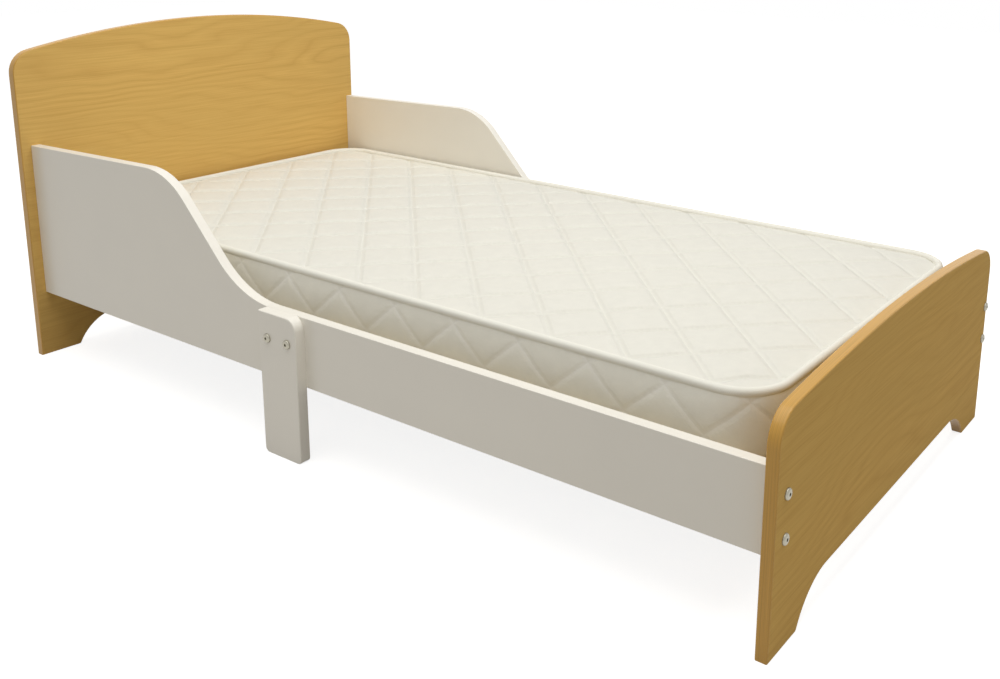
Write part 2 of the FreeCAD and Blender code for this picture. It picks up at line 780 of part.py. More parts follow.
# The leg's bolts and inserts
leg_face = "near_rail_outside - leg_thickness"
places = [(leg_face, place, "leg_bolt_height", -ACROSS) for place in LEG_BOLT_PLACES]
bolts += copies(leg_bolt, places)
places = [("near_rail_inside", place, "leg_bolt_height", ACROSS) for place in LEG_BOLT_PLACES]
nuts += copies(leg_insert, places)
nodes += [group("frame_bolts", bolts), group("frame_nuts", nuts), group("frame_dowels", dowels)]

# The slatted base
nodes.append(ledger("ledger_left", "near_rail_inside", 1))
nodes.append(ledger("ledger_right", "far_rail_inside - ledger_width", -1))
slats = range(int(value("slat_count")))
nodes += [slat(index) for index in slats]
nodes.append(slat_tapes())

# The mattress
nodes += [mattress_cover(), mattress_core()]
nodes += [piping(f"mattress_piping_{name.lower()}", height) for name, height in PIPING_HEIGHTS.items()]

# Nothing is written unless every object is sound
doc.recompute()
for feature in doc.Objects:
    if "Invalid" in feature.State or "Error" in feature.State:
        raise RuntimeError(f"{feature.Name} failed")
for node in nodes:
    if node.Shape.isNull() or not node.Shape.isValid():
        raise RuntimeError(f"{node.Label} has no sound shape")
os.makedirs("parts", exist_ok=True)
for node in nodes:
    node.Shape.exportStep(f"parts/{node.Label}.step")
    print(node.Label, len(node.Shape.Solids), round(node.Shape.Volume))
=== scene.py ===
"""The looks of a toddler bed: wood-effect end boards, white lacquered rails and leg, bolts and
screws, and a quilted mattress with piping, all in place on the bed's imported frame.

Metres. X runs across the bed with the near side at -X, Y along it with the head at +Y, and Z up
from the floor.
"""
import math

import bmesh
import bpy
from bpy.props import FloatProperty, FloatVectorProperty, IntProperty, PointerProperty
from mathutils import Matrix, Vector, noise


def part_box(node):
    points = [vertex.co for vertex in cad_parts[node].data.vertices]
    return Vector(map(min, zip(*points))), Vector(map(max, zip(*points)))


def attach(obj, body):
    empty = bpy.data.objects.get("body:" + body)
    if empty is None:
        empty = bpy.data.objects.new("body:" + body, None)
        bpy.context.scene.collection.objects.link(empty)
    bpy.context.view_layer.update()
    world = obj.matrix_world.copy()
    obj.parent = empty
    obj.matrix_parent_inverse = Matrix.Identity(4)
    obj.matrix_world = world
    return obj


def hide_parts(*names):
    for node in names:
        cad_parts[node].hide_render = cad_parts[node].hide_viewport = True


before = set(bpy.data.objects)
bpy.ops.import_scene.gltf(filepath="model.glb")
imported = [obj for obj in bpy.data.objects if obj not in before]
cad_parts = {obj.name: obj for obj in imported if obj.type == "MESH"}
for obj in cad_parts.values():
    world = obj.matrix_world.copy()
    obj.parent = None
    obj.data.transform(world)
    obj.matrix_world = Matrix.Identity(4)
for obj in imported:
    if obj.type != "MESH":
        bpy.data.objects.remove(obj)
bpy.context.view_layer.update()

bl_info = {
    "name": "Toddler Bed",
    "version": (1, 0, 0),
    "blender": (4, 5, 0),
    "location": "View3D > Sidebar > Bed",
    "description": "Models and finishes the pieces of a toddler bed on its packed frame",
    "category": "Add Mesh",
}

MM = 0.001

# Points closer than this count as one place
NEAR = MM / 10

# Runs shorter than this count as none
TINY = NEAR / 1000


def linear(code):
    """The linear colour of an sRGB hex value."""
    levels = [int(code[place : place + 2], 16) / 255 for place in (1, 3, 5)]
    return tuple(
        level / 12.92 if level <= 0.04045 else ((level + 0.055) / 1.055) ** 2.4
        for level in levels
    ) + (1,)


def length(name, millimetres, description):
    """A length that a user can change."""
    return FloatProperty(
        name=name, description=description, default=millimetres * MM, unit="LENGTH"
    )


def colour(name, code, description):
    """A colour that a user can change."""
    return FloatVectorProperty(
        name=name, description=description, default=linear(code), size=4, min=0, max=1,
        subtype="COLOR",
    )


# Sizes and colours


class BoardSettings(bpy.types.PropertyGroup):
    """The end boards."""

    headboard_arch: length("Headboard arch", 1700, "Radius of the headboard's top")
    footboard_arch: length("Footboard arch", 3200, "Radius of the footboard's top")
    shoulder: length("Shoulder", 40, "Radius of the corners under the arch")
    foot: length("Foot", 72, "Width of each foot on the floor")
    cutout_height: length("Cut-out height", 47, "Height of the cut-out between the feet")
    cutout_sweep: length("Cut-out sweep", 87, "Radius of the cut-out's two ends")
    toe: length("Toe", 4, "Radius of the corner between foot and cut-out")
    arris: length("Arris", 2, "Radius of the wrapped long edges")
    face: colour("Board", "#E3BC6E", "Light tone of the wood effect")
    grain: colour("Grain", "#BD8A45", "Dark tone of the wood effect's figure")
    edge: colour("Edge band", "#C99A46", "Middle tone of the film wrapped round the edges")


class RailSettings(bpy.types.PropertyGroup):
    """The side rails and the support leg."""

    low_top: length("Low top", 221, "Height of the rail's low part, and of the leg")
    guard_at_head: length("Guard at the head", 379, "Height of the guard beside the headboard")
    guard_at_crest: length("Guard at the crest", 389.4, "Height that the guard's top line reaches")
    curve_foot: length(
        "Curve's foot", 159, "Place along the bed where slope and low top would meet"
    )
    slope: FloatProperty(
        name="Slope", description="Steepness between guard and low part",
        default=math.radians(46), unit="ROTATION",
    )
    crest: length("Crest", 125, "Radius at the top of the slope")
    dip: length("Dip", 165, "Radius at the foot of the slope")
    leg_shoulder: length("Leg's shoulder", 18, "Radius of the leg's rounded top corner")
    leg_toe: length("Leg's toe", 8, "Radius of the leg's bottom corners")
    arris: length("Arris", 1.0, "Radius of the rails' long edges")
    leg_arris: length("Leg's arris", 2, "Radius of the leg's outer edges")
    lacquer: colour("Lacquer", "#F0ECE1", "Colour of the white lacquer")


class FittingSettings(bpy.types.PropertyGroup):
    """The bolts and screws."""

    bolt: length("Bolt", 6, "Diameter of the bolts' shanks")
    board_bolt_length: length(
        "Board bolt's length", 45, "Length under the head of the end boards' bolts"
    )
    leg_bolt_length: length("Leg bolt's length", 30, "Length under the head of the leg's bolts")
    head: length("Bolt head", 14, "Diameter of the button heads")
    head_height: length("Head height", 3.4, "Height of the button heads")
    socket: length("Socket", 4, "Width across the flats of the hexagon sockets")
    socket_depth: length("Socket depth", 2.2, "Depth of the hexagon sockets")
    upper_bolts: length("Upper bolts", 192, "Height of the upper bolts in the end boards")
    lower_bolts: length("Lower bolts", 139, "Height of the lower bolts in the end boards")
    leg_bolts: length("Leg bolts", 182, "Height of the bolts in the leg")
    leg_bolt_spacing: length("Leg bolt spacing", 42, "Distance between the leg's bolts")
    barrel: length("Barrel hole", 10.4, "Diameter of the holes for barrel nuts and inserts")
    barrel_depth: length("Barrel depth", 14, "Depth of the holes for barrel nuts and inserts")
    barrel_place: length("Barrel place", 28, "Distance of the barrel nuts from the rail's end")
    screw: length("Screw head", 8, "Diameter of the countersunk screws in battens and slats")
    screw_depth: length("Screw depth", 3, "Height of a screw's countersunk head")
    screw_proud: length("Screw proud", 0.2, "How far the screws stand out")
    recess: length("Recess", 4.6, "Length of the cross recess in the screws' heads")
    recess_width: length("Recess width", 0.9, "Width of the cross recess's arms")
    recess_depth: length("Recess depth", 1, "Depth of the cross recess")
    nickel: colour("Nickel", "#A8A496", "Colour of the nickel plating")
    zinc: colour("Zinc", "#B4B9BF", "Colour of the zinc plating")


class MattressSettings(bpy.types.PropertyGroup):
    """The mattress."""

    corner: length("Corner", 66, "Radius of the mattress's corners in plan")
    seam_height: length("Seam height", 87, "Height of the top seam over the mattress's underside")
    draw: length("Draw", 2.5, "How far both seams are drawn in")
    crown: length("Crown", 5, "Rise of the top over its seam")
    crown_reach: length(
        "Crown reach", 14, "Distance from the seam in which most of the crown rises"
    )
    piping: length("Piping", 6, "Radius of the piping")
    pitch_across: length("Pitch across", 115.4, "Width of the quilting's diamonds across the bed")
    pitch_along: length("Pitch along", 114.9, "Length of the quilting's diamonds along the bed")
    start_across: length(
        "Start across", -25.3, "Place of one crossing from the mattress's middle, across the bed"
    )
    start_along: length(
        "Start along", 27, "Place of one crossing from the mattress's middle, along the bed"
    )
    border_pitch: length("Border pitch", 109, "Distance between the peaks of the border's quilting")
    border_start: length(
        "Border start", -7, "Place of one peak on the near side from the mattress's middle"
    )
    border_drop: length("Border drop", 95, "Height in which the border's lines run one pitch along")
    border_top: length(
        "Border top", 78, "Height of the border's peaks over the mattress's underside"
    )
    border_cuts: IntProperty(
        name="Border cuts", description="Mesh rows between the two seams", default=8
    )
    seam_crease: FloatProperty(
        name="Seam crease", description="How sharp both seams stay", default=0.9
    )
    bulge: IntProperty(
        name="Bulge", description="How close to its seams the border reaches its width", default=10
    )
    cells: IntProperty(
        name="Cells", description="Mesh cells in one diamond, an even number", default=10
    )
    puff: length("Puff", 3.6, "Most that the filling lifts the fabric")
    channel: length("Channel", 3.8, "Extra depth of the top's sewn channels")
    channel_reach: length(
        "Channel reach", 4, "Distance from the stitching in which most of a channel rises"
    )
    border_channel: length("Border channel", 1.2, "Extra depth of the border's sewn channels")
    uneven: length("Unevenness", 0.5, "Most that the fabric's surface wanders")
    foam_inset: length("Foam inset", 12, "How much smaller the foam's corner radius is")
    foam_arris: length("Foam arris", 2, "Width of the foam's broken edges")
    cover: colour("Cover", "#E4E2D7", "Colour of the quilted fabric")
    thread: colour("Thread", "#F6F4EA", "Colour of the quilting's thread")
    foam: colour("Foam", "#E6D9A8", "Colour of the foam")


class BaseSettings(bpy.types.PropertyGroup):
    """The slatted base."""

    batten_screws: IntProperty(name="Batten screws", description="Screws in each batten", default=6)
    screw_inset: length("Screw inset", 12, "Distance of the end slats' screws from their ends")
    pine: colour("Pine", "#EBDCBF", "Light tone of the bare pine")
    pine_ring: colour("Pine ring", "#D2B583", "Dark tone of the pine's rings")
    beech: colour("Beech", "#D8B384", "Light tone of the dowels")
    beech_ring: colour("Beech ring", "#B48A58", "Dark tone of the dowels")
    tape: colour("Tape", "#DEDBD2", "Colour of the woven tapes")


class StageSettings(bpy.types.PropertyGroup):
    """The camera and the lamps."""

    place: FloatVectorProperty(
        name="Camera", description="Where the camera stands",
        default=(-1.3302, -1.1475, 0.7767), unit="LENGTH",
    )
    azimuth: FloatProperty(
        name="Azimuth", description="Where it stands round the bed",
        default=math.radians(-55.56), unit="ROTATION",
    )
    elevation: FloatProperty(
        name="Elevation", description="How far it looks down",
        default=math.radians(13.38), unit="ROTATION",
    )
    roll: FloatProperty(
        name="Roll", description="How far it leans", default=math.radians(1.01), unit="ROTATION"
    )
    lens: FloatProperty(name="Lens", description="Focal length in millimetres", default=39.65)
    shift: FloatVectorProperty(
        name="Shift", description="Shift of the frame in frame widths",
        default=(-0.1004, -0.16), size=2,
    )
    key: FloatProperty(
        name="Key lamp", description="Power of the large lamp overhead", default=44, unit="POWER"
    )
    foot: FloatProperty(
        name="Foot lamp", description="Power of the lamp over the foot", default=7.2, unit="POWER"
    )
    fill: FloatProperty(name="Fill", description="Strength of the room's even light", default=0.40)
    glow: FloatProperty(
        name="Floor glow", default=0.84,
        description="Strength of what the camera sees of the floor besides its light",
    )
    floor_size: length("Floor size", 14000, "Length of the floor's sides")
    floor: colour("Floor", "#BCB9B4", "Colour of the plain floor")
    shown: colour("Shown floor", "#FDFEFF", "What the camera sees of the floor besides its light")
    room: colour("Room", "#FFFCF8", "Tint of the room's even light")


def settings():
    """All the bed's settings in this scene."""
    return bpy.context.scene.toddler_bed


class BedSettings(bpy.types.PropertyGroup):
    """All the settings of the bed."""

    boards: PointerProperty(type=BoardSettings)
    rails: PointerProperty(type=RailSettings)
    fittings: PointerProperty(type=FittingSettings)
    mattress: PointerProperty(type=MattressSettings)
    base: PointerProperty(type=BaseSettings)
    stage: PointerProperty(type=StageSettings)


# Modelling by hand


def begin(add, **placing):
    """Adds a primitive, the only thing selected and with its place in its mesh, and opens it in
    edit mode."""
    if bpy.context.mode != "OBJECT":
        bpy.ops.object.mode_set(mode="OBJECT")
    bpy.ops.object.select_all(action="DESELECT")
    add(**placing)
    piece = bpy.context.object
    bpy.ops.object.transform_apply(location=True, rotation=True, scale=True)
    bpy.ops.object.mode_set(mode="EDIT")
    return piece


def finish_mesh(piece, name, smooth=30):
    """Leaves edit mode and gives the piece its name, outward faces and smooth shading up to an
    angle."""
    bpy.ops.mesh.select_all(action="SELECT")
    bpy.ops.mesh.normals_make_consistent(inside=False)
    bpy.ops.object.mode_set(mode="OBJECT")
    piece.name = piece.data.name = name
    bpy.ops.object.shade_smooth_by_angle(angle=math.radians(smooth))
    return piece


def choose(piece, kind, test):
    """Selects just the faces, edges or verts that pass a test, in edit mode."""
    mesh = bmesh.from_edit_mesh(piece.data)
    for element in list(mesh.verts) + list(mesh.edges) + list(mesh.faces):
        element.select = False
    found = [element for element in getattr(mesh, kind) if test(element)]
    if not found:
        raise RuntimeError(f"{piece.name}: no {kind} chosen")
    mesh.select_mode = {kind[:-1].upper()}
    for element in found:
        element.select_set(True)
    mesh.select_flush_mode()
    bmesh.update_edit_mesh(piece.data)


def apply_modifier(piece, kind, **values):
    """Adds a modifier with its settings and applies it."""
    if bpy.context.mode != "OBJECT":
        bpy.ops.object.mode_set(mode="OBJECT")
    modifier = piece.modifiers.new(kind.title(), kind)
    for name, value in values.items():
        setattr(modifier, name, value)
    bpy.context.view_layer.objects.active = piece
    bpy.ops.object.modifier_apply(modifier=modifier.name)


def cut(piece, cutter):
    """Cuts one mesh out of another."""
    apply_modifier(piece, "BOOLEAN", operation="DIFFERENCE", solver="EXACT", object=cutter)
    bpy.data.objects.remove(cutter)


def turn_to(way):
    """The turn that points Z a way."""
    return Vector((0, 0, 1)).rotation_difference(Vector(way))


def drill(piece, centre, axis, diameter, depth):
    """Drills a round hole of a depth to both sides of a centre."""
    drill_bit = begin(
        bpy.ops.mesh.primitive_cylinder_add, vertices=32, radius=diameter / 2, depth=2 * depth,
        location=centre, rotation=turn_to(axis).to_euler(),
    )
    bpy.ops.object.mode_set(mode="OBJECT")
    cut(piece, drill_bit)


def copy_to(piece, name, matrix):
    """A copy with its own mesh, moved by a matrix."""
    copied = piece.copy()
    copied.data = piece.data.copy()
    copied.data.transform(matrix)
    copied.name = copied.data.name = name
    bpy.context.collection.objects.link(copied)
    return copied


def join(pieces, name):
    """Several meshes as one piece."""
    bpy.ops.object.select_all(action="DESELECT")
    for piece in pieces:
        piece.select_set(True)
    bpy.context.view_layer.objects.active = pieces[0]
    bpy.ops.object.join()
    pieces[0].name = pieces[0].data.name = name
    return pieces[0]


class Outline:
    """An outline traced from one vertex in a plane square to X or Y: straight runs are extruded and
    bends spun."""

    # The longest facet of a bend. A bend tighter than the small radius gets as many facets as one
    # of that radius.
    FACET = 9 * MM
    SMALL_RADIUS = 30 * MM

    def __init__(self, normal, depth, start):
        self.normal = normal
        self.depth = depth
        self.point = start
        self.piece = begin(bpy.ops.mesh.primitive_plane_add, size=MM)
        bpy.ops.mesh.merge(type="CENTER")
        bpy.ops.transform.translate(value=self.place(start))

    def place(self, point):
        """A point of the plane in space."""
        along, up = point
        if self.normal == "X":
            return Vector((self.depth, along, up))
        return Vector((along, self.depth, up))

    def to(self, point):
        """A straight run to a point."""
        step = self.place(point) - self.place(self.point)
        if step.length > TINY:
            bpy.ops.mesh.extrude_vertices_move(TRANSFORM_OT_translate={"value": step})
        self.point = point

    def bend(self, centre, point):
        """An arc about a centre to a point, the short way round."""
        first = math.atan2(self.point[1] - centre[1], self.point[0] - centre[0])
        last = math.atan2(point[1] - centre[1], point[0] - centre[0])
        angle = math.remainder(last - first, 2 * math.pi)
        radius = math.dist(centre, point)
        steps = max(4, math.ceil(abs(angle) * max(radius, self.SMALL_RADIUS) / self.FACET))
        axis = (-1, 0, 0) if self.normal == "X" else (0, 1, 0)
        bpy.ops.mesh.spin(steps=steps, angle=angle, center=self.place(centre), axis=axis)
        self.point = point

    def round_corner(self, corner, following, radius):
        """A straight run towards a corner and a bend round it towards the point that follows."""
        corner, before, after = Vector(corner), Vector(self.point), Vector(following)
        towards = (before - corner).normalized()
        onwards = (after - corner).normalized()
        half = towards.angle(onwards) / 2
        reach = radius / math.tan(half)
        centre = corner + (towards + onwards).normalized() * (radius / math.sin(half))
        self.to(tuple(corner + towards * reach))
        self.bend(tuple(centre), tuple(corner + onwards * reach))

    def close(self, thickness, arris, rounds_back=True):
        """Closes the outline, gives it its thickness and rounds the long edges."""
        bpy.ops.mesh.select_all(action="SELECT")
        bpy.ops.mesh.remove_doubles(threshold=0.05 * MM)
        bpy.ops.mesh.edge_face_add()
        way = Vector((thickness, 0, 0)) if self.normal == "X" else Vector((0, thickness, 0))
        bpy.ops.mesh.extrude_region_move(TRANSFORM_OT_translate={"value": way})
        bpy.ops.mesh.select_all(action="SELECT")
        bpy.ops.mesh.normals_make_consistent(inside=False)
        index = 0 if self.normal == "X" else 1

        def rounded(edge):
            """Whether an edge lies between a broad face and a narrow one, and is to be rounded."""
            turns = [abs(face.normal[index]) for face in edge.link_faces]
            in_front = abs(edge.verts[0].co[index] - self.depth) < thickness / 2
            broad, narrow = max(turns, default=0) > 0.9, min(turns, default=1) < 0.1
            return broad and narrow and (rounds_back or in_front)

        choose(self.piece, "edges", rounded)
        bpy.ops.mesh.bevel(
            offset=arris, segments=4, profile=0.5, affect="EDGES", clamp_overlap=False
        )
        return self.piece


# Materials

# How many cells of a pattern there are in a metre
PEEL = 420  # the lacquer's orange peel, 2.4 mm
CLOUDS = 9  # the lacquer's uneven gloss, 110 mm
PLATING_MARKS = 600  # soft marks from tumbling, 1.7 mm, coarser than real so that they show
SPANGLE = 700  # the zinc's crystals, 1.4 mm
MOTTLE = 60  # the fabric's uneven tone, 17 mm
PUCKERS = 150  # the fabric's puckers, 7 mm
FOAM_CELLS = 700  # the foam's open cells, 1.4 mm

# The metres in which a wave texture of scale 1 repeats
WAVE_REPEAT = 0.314


def add_node(tree, kind, inputs=None, output=0, stops=(), **values):
    """Adds a node, sets its values, gives each input a number, a colour or a link, and returns one
    of its outputs, or the node where none is named. A colour ramp also gets its stops, each a place
    and a colour or a grey."""
    made = tree.nodes.new(kind)
    for name, value in values.items():
        setattr(made, name, value)
    for name, value in (inputs or {}).items():
        if isinstance(value, bpy.types.NodeSocket):
            tree.links.new(value, made.inputs[name])
        else:
            made.inputs[name].default_value = value
    elements = made.color_ramp.elements if stops else ()
    while len(elements) < len(stops):
        elements.new(0.5)
    for element, (place, tone) in zip(elements, stops):
        element.position = place
        element.color = tone if isinstance(tone, tuple) else (tone, tone, tone, 1)
    return made if output is None else made.outputs[output]


def new_material(name, **shader):
    """A material with a shader whose constants are set on its own sockets. A plain one of the same
    name, which the frame brings along, is built up anew."""
    material = bpy.data.materials.get(name) or bpy.data.materials.new(name)
    material.use_nodes = True
    tree = material.node_tree
    tree.nodes.clear()
    surface = add_node(tree, "ShaderNodeBsdfPrincipled", shader, output=None)
    add_node(tree, "ShaderNodeOutputMaterial", {"Surface": surface.outputs[0]}, output=None)
    return material, tree, surface.inputs


def link_surface(tree, shader, tone, gloss=None, relief=None):
    """Links a surface's colour, roughness and normal to its shader."""
    for socket, value in (("Base Color", tone), ("Roughness", gloss), ("Normal", relief)):
        if value:
            tree.links.new(value, shader[socket])


def in_object(tree, scale=(1, 1, 1), turn=(0, 0, 0)):
    """The piece's own coordinates, stretched and turned."""
    place = add_node(tree, "ShaderNodeTexCoord", output="Object")
    inputs = {"Vector": place, "Scale": scale, "Rotation": turn}
    return add_node(tree, "ShaderNodeMapping", inputs)


def tones(tone, share):
    """A colour made lighter or darker by a share of itself."""
    return tuple(min(level * share, 1) for level in tone[:3]) + (1,)


def wood_tones(tree, light, dark, along, ring, fibre):
    """A wood's colour, with the height of its fibres: rings that wander into cathedrals, and fine
    fibres, both along one axis. The spacings of rings and fibres are in metres."""

    def figure(slow, fast, detail, roughness):
        """A noise whose cells in a metre differ along the grain and across it."""
        place = in_object(tree, tuple(slow if axis == along else fast for axis in "XYZ"))
        inputs = {"Vector": place, "Scale": 1, "Detail": detail, "Roughness": roughness}
        return add_node(tree, "ShaderNodeTexNoise", inputs)

    clouds = figure(1.6, 7, 2, 0.5)
    fibres = figure(9, 1 / fibre, 4, 0.62)
    # The rings lie a spacing apart, and the noise moves them by up to 0.3 metres
    wander = figure(1.4, 6, 3, 0.45)
    wander = add_node(tree, "ShaderNodeMath", {0: wander, 1: 0.3 / ring}, operation="MULTIPLY")
    parts = add_node(
        tree, "ShaderNodeSeparateXYZ", {"Vector": in_object(tree)}, output=None
    ).outputs
    side = parts["Y" if along == "X" else "X"]
    rise = add_node(tree, "ShaderNodeMath", {0: side, 1: parts["Z"]}, operation="ADD")
    rings = add_node(
        tree, "ShaderNodeMath", {0: rise, 1: 1 / ring, 2: wander}, operation="MULTIPLY_ADD"
    )
    rings = add_node(tree, "ShaderNodeMath", {0: rings, 1: 0.5}, operation="PINGPONG")
    rings = add_node(tree, "ShaderNodeMath", {0: rings, 1: 2}, operation="MULTIPLY")
    # The dark tone's share, most in the late wood, is broken up by the clouds
    ring_share = add_node(
        tree, "ShaderNodeValToRGB", {"Fac": rings}, stops=[(0, 0.3), (0.3, 0.14), (1, 0)]
    )
    broken = add_node(tree, "ShaderNodeValToRGB", {"Fac": clouds}, stops=[(0.35, 0.25), (0.65, 1)])
    ring_share = add_node(tree, "ShaderNodeMath", {0: ring_share, 1: broken}, operation="MULTIPLY")
    fibre_share = add_node(
        tree, "ShaderNodeValToRGB", {"Fac": fibres}, stops=[(0.32, 0.3), (0.5, 0.1), (0.66, 0)]
    )
    wood = add_node(
        tree, "ShaderNodeValToRGB", {"Fac": clouds},
        stops=[(0.3, tones(light, 0.95)), (0.7, tones(light, 1.04))],
    )
    for share in (ring_share, fibre_share):
        wood = add_node(
            tree, "ShaderNodeMix", {0: share, 6: wood, 7: dark}, output=2, data_type="RGBA"
        )
    return wood, fibres


def once(make):
    """Makes a material the first time it is asked for, and keeps it for the next."""
    kept = []

    def find():
        if not kept:
            kept.append(make(make.__name__))
        return kept[0]

    return find


@once
def beech_effect_board_face(name):
    """Melamine-faced chipboard: a printed beech figure under a satin resin film, so the grain shows
    as fine lines with hardly any relief."""
    boards = settings().boards
    face, grain = tuple(boards.face), tuple(boards.grain)
    material, tree, shader = new_material(name, Roughness=0.6, IOR=1.08)
    tone, fibres = wood_tones(tree, face, grain, "X", ring=18 * MM, fibre=1.3 * MM)
    relief = add_node(
        tree, "ShaderNodeBump", {"Height": fibres, "Distance": 0.05 * MM, "Strength": 0.6}
    )
    link_surface(tree, shader, tone, relief=relief)
    return material


@once
def beech_effect_edge_band(name):
    """The same printed film wrapped round the board's edges, under a satin coat that shines where
    the board turns up to the light. The grain's lines run along the edge."""
    edge = tuple(settings().boards.edge)
    coat = {"Coat Weight": 0.4, "Coat Roughness": 0.25}
    material, tree, shader = new_material(name, Roughness=0.4, IOR=1.25, **coat)
    # The lines lie 1.1 mm apart over the board's thickness and hardly vary along the board, so they
    # follow every edge
    place = in_object(tree, (7, 900, 7))
    lines = add_node(
        tree, "ShaderNodeTexNoise", {"Vector": place, "Scale": 1, "Detail": 3, "Roughness": 0.6}
    )
    tone = add_node(
        tree, "ShaderNodeValToRGB", {"Fac": lines},
        stops=[(0.3, tones(edge, 0.84)), (0.52, edge), (0.75, tones(edge, 1.12))],
    )
    relief = add_node(
        tree, "ShaderNodeBump", {"Height": lines, "Distance": 0.04 * MM, "Strength": 0.5}
    )
    link_surface(tree, shader, tone, relief=relief)
    return material


@once
def white_lacquered_board(name):
    """Fibreboard sprayed with satin white lacquer: a faint orange peel and a gloss that varies."""
    lacquer = tuple(settings().rails.lacquer)
    material, tree, shader = new_material(name, IOR=1.5)
    place = in_object(tree)
    peel = add_node(tree, "ShaderNodeTexNoise", {"Vector": place, "Scale": PEEL, "Detail": 2})
    cloud = add_node(tree, "ShaderNodeTexNoise", {"Vector": place, "Scale": CLOUDS, "Detail": 3})
    tone = add_node(
        tree, "ShaderNodeValToRGB", {"Fac": cloud},
        stops=[(0.3, tones(lacquer, 0.985)), (0.7, tones(lacquer, 1.01))],
    )
    gloss = add_node(tree, "ShaderNodeValToRGB", {"Fac": cloud}, stops=[(0.3, 0.3), (0.7, 0.36)])
    relief = add_node(
        tree, "ShaderNodeBump", {"Height": peel, "Distance": 0.03 * MM, "Strength": 0.5}
    )
    link_surface(tree, shader, tone, gloss, relief)
    return material


@once
def nickel_plated_steel(name):
    """Nickel-plated steel bolts, tumbled and plated: a bright warm metal with soft marks."""
    nickel = tuple(settings().fittings.nickel)
    material, tree, shader = new_material(name, Metallic=1)
    marks = add_node(
        tree, "ShaderNodeTexNoise", {"Vector": in_object(tree), "Scale": PLATING_MARKS, "Detail": 3}
    )
    tone = add_node(
        tree, "ShaderNodeValToRGB", {"Fac": marks},
        stops=[(0.3, tones(nickel, 0.92)), (0.7, nickel)],
    )
    gloss = add_node(tree, "ShaderNodeValToRGB", {"Fac": marks}, stops=[(0.3, 0.3), (0.7, 0.44)])
    link_surface(tree, shader, tone, gloss)
    return material


@once
def zinc_plated_steel(name):
    """Zinc-plated steel nuts and screws, passivated: a bluish grey with a cloudy spangle."""
    zinc = tuple(settings().fittings.zinc)
    material, tree, shader = new_material(name, Metallic=1)
    spangle = add_node(
        tree, "ShaderNodeTexVoronoi", {"Vector": in_object(tree), "Scale": SPANGLE}, output="Color"
    )
    tone = add_node(
        tree, "ShaderNodeValToRGB", {"Fac": spangle},
        stops=[(0, tones(zinc, 0.86)), (1, tones(zinc, 1.06))],
    )
    gloss = add_node(tree, "ShaderNodeValToRGB", {"Fac": spangle}, stops=[(0, 0.3), (1, 0.48)])
    link_surface(tree, shader, tone, gloss)
    return material


def bare_pine(name, along):
    """Planed pine without a finish: yellow early wood, browner late wood in rings, fine fibres."""
    base = settings().base
    pine, late_wood = tuple(base.pine), tuple(base.pine_ring)
    material, tree, shader = new_material(name, Roughness=0.62, IOR=1.45)
    tone, fibres = wood_tones(tree, pine, late_wood, along, ring=7 * MM, fibre=0.9 * MM)
    relief = add_node(
        tree, "ShaderNodeBump", {"Height": fibres, "Distance": 0.12 * MM, "Strength": 0.7}
    )
    link_surface(tree, shader, tone, relief=relief)
    return material


@once
def bare_pine_slats(name):
    """Pine with its grain across the bed."""
    return bare_pine(name, "X")


@once
def bare_pine_battens(name):
    """Pine with its grain along the bed."""
    return bare_pine(name, "Y")


@once
def turned_beech(name):
    """Beech dowels, with fine fibres along them."""
    base = settings().base
    beech, late_wood = tuple(base.beech), tuple(base.beech_ring)
    material, tree, shader = new_material(name, Roughness=0.6, IOR=1.45)
    tone, _ = wood_tones(tree, beech, late_wood, "Y", ring=5 * MM, fibre=0.8 * MM)
    link_surface(tree, shader, tone)
    return material


def weave(tree, place, pitch):
    """The height of a plain weave: two rows of threads that cross."""
    inputs = {"Vector": place, "Scale": WAVE_REPEAT / pitch}
    rows = [
        add_node(tree, "ShaderNodeTexWave", inputs, output="Fac", bands_direction=axis)
        for axis in "XY"
    ]
    return add_node(tree, "ShaderNodeMath", {0: rows[0], 1: rows[1]}, operation="MULTIPLY")


@once
def woven_tape(name):
    """Polyester tape in a plain weave of 1.5 mm, which shows as a fine check."""
    tape = tuple(settings().base.tape)
    material, tree, shader = new_material(name, Roughness=0.85, IOR=1.45)
    height = weave(tree, in_object(tree), 1.5 * MM)
    # Darker where the weave dips: painted shade in its hollows
    tone = add_node(
        tree, "ShaderNodeValToRGB", {"Fac": height}, stops=[(0, tones(tape, 0.8)), (1, tape)]
    )
    relief = add_node(
        tree, "ShaderNodeBump", {"Height": height, "Distance": 0.2 * MM, "Strength": 0.8}
    )
    link_surface(tree, shader, tone, relief=relief)
    return material


def quilting(border):
    """The quilting's pitch and the place of one of its crossings, across and along, on the top or
    on the border."""
    mattress = settings().mattress
    if border:
        pitch = (mattress.border_pitch, mattress.border_drop)
        return pitch, (mattress.border_start, mattress.border_top)
    pitch = (mattress.pitch_across, mattress.pitch_along)
    return pitch, (mattress.start_across, mattress.start_along)


def line_spacing(pitch):
    """The distance between the quilting's parallel lines."""
    return pitch[0] * pitch[1] / math.hypot(*pitch)


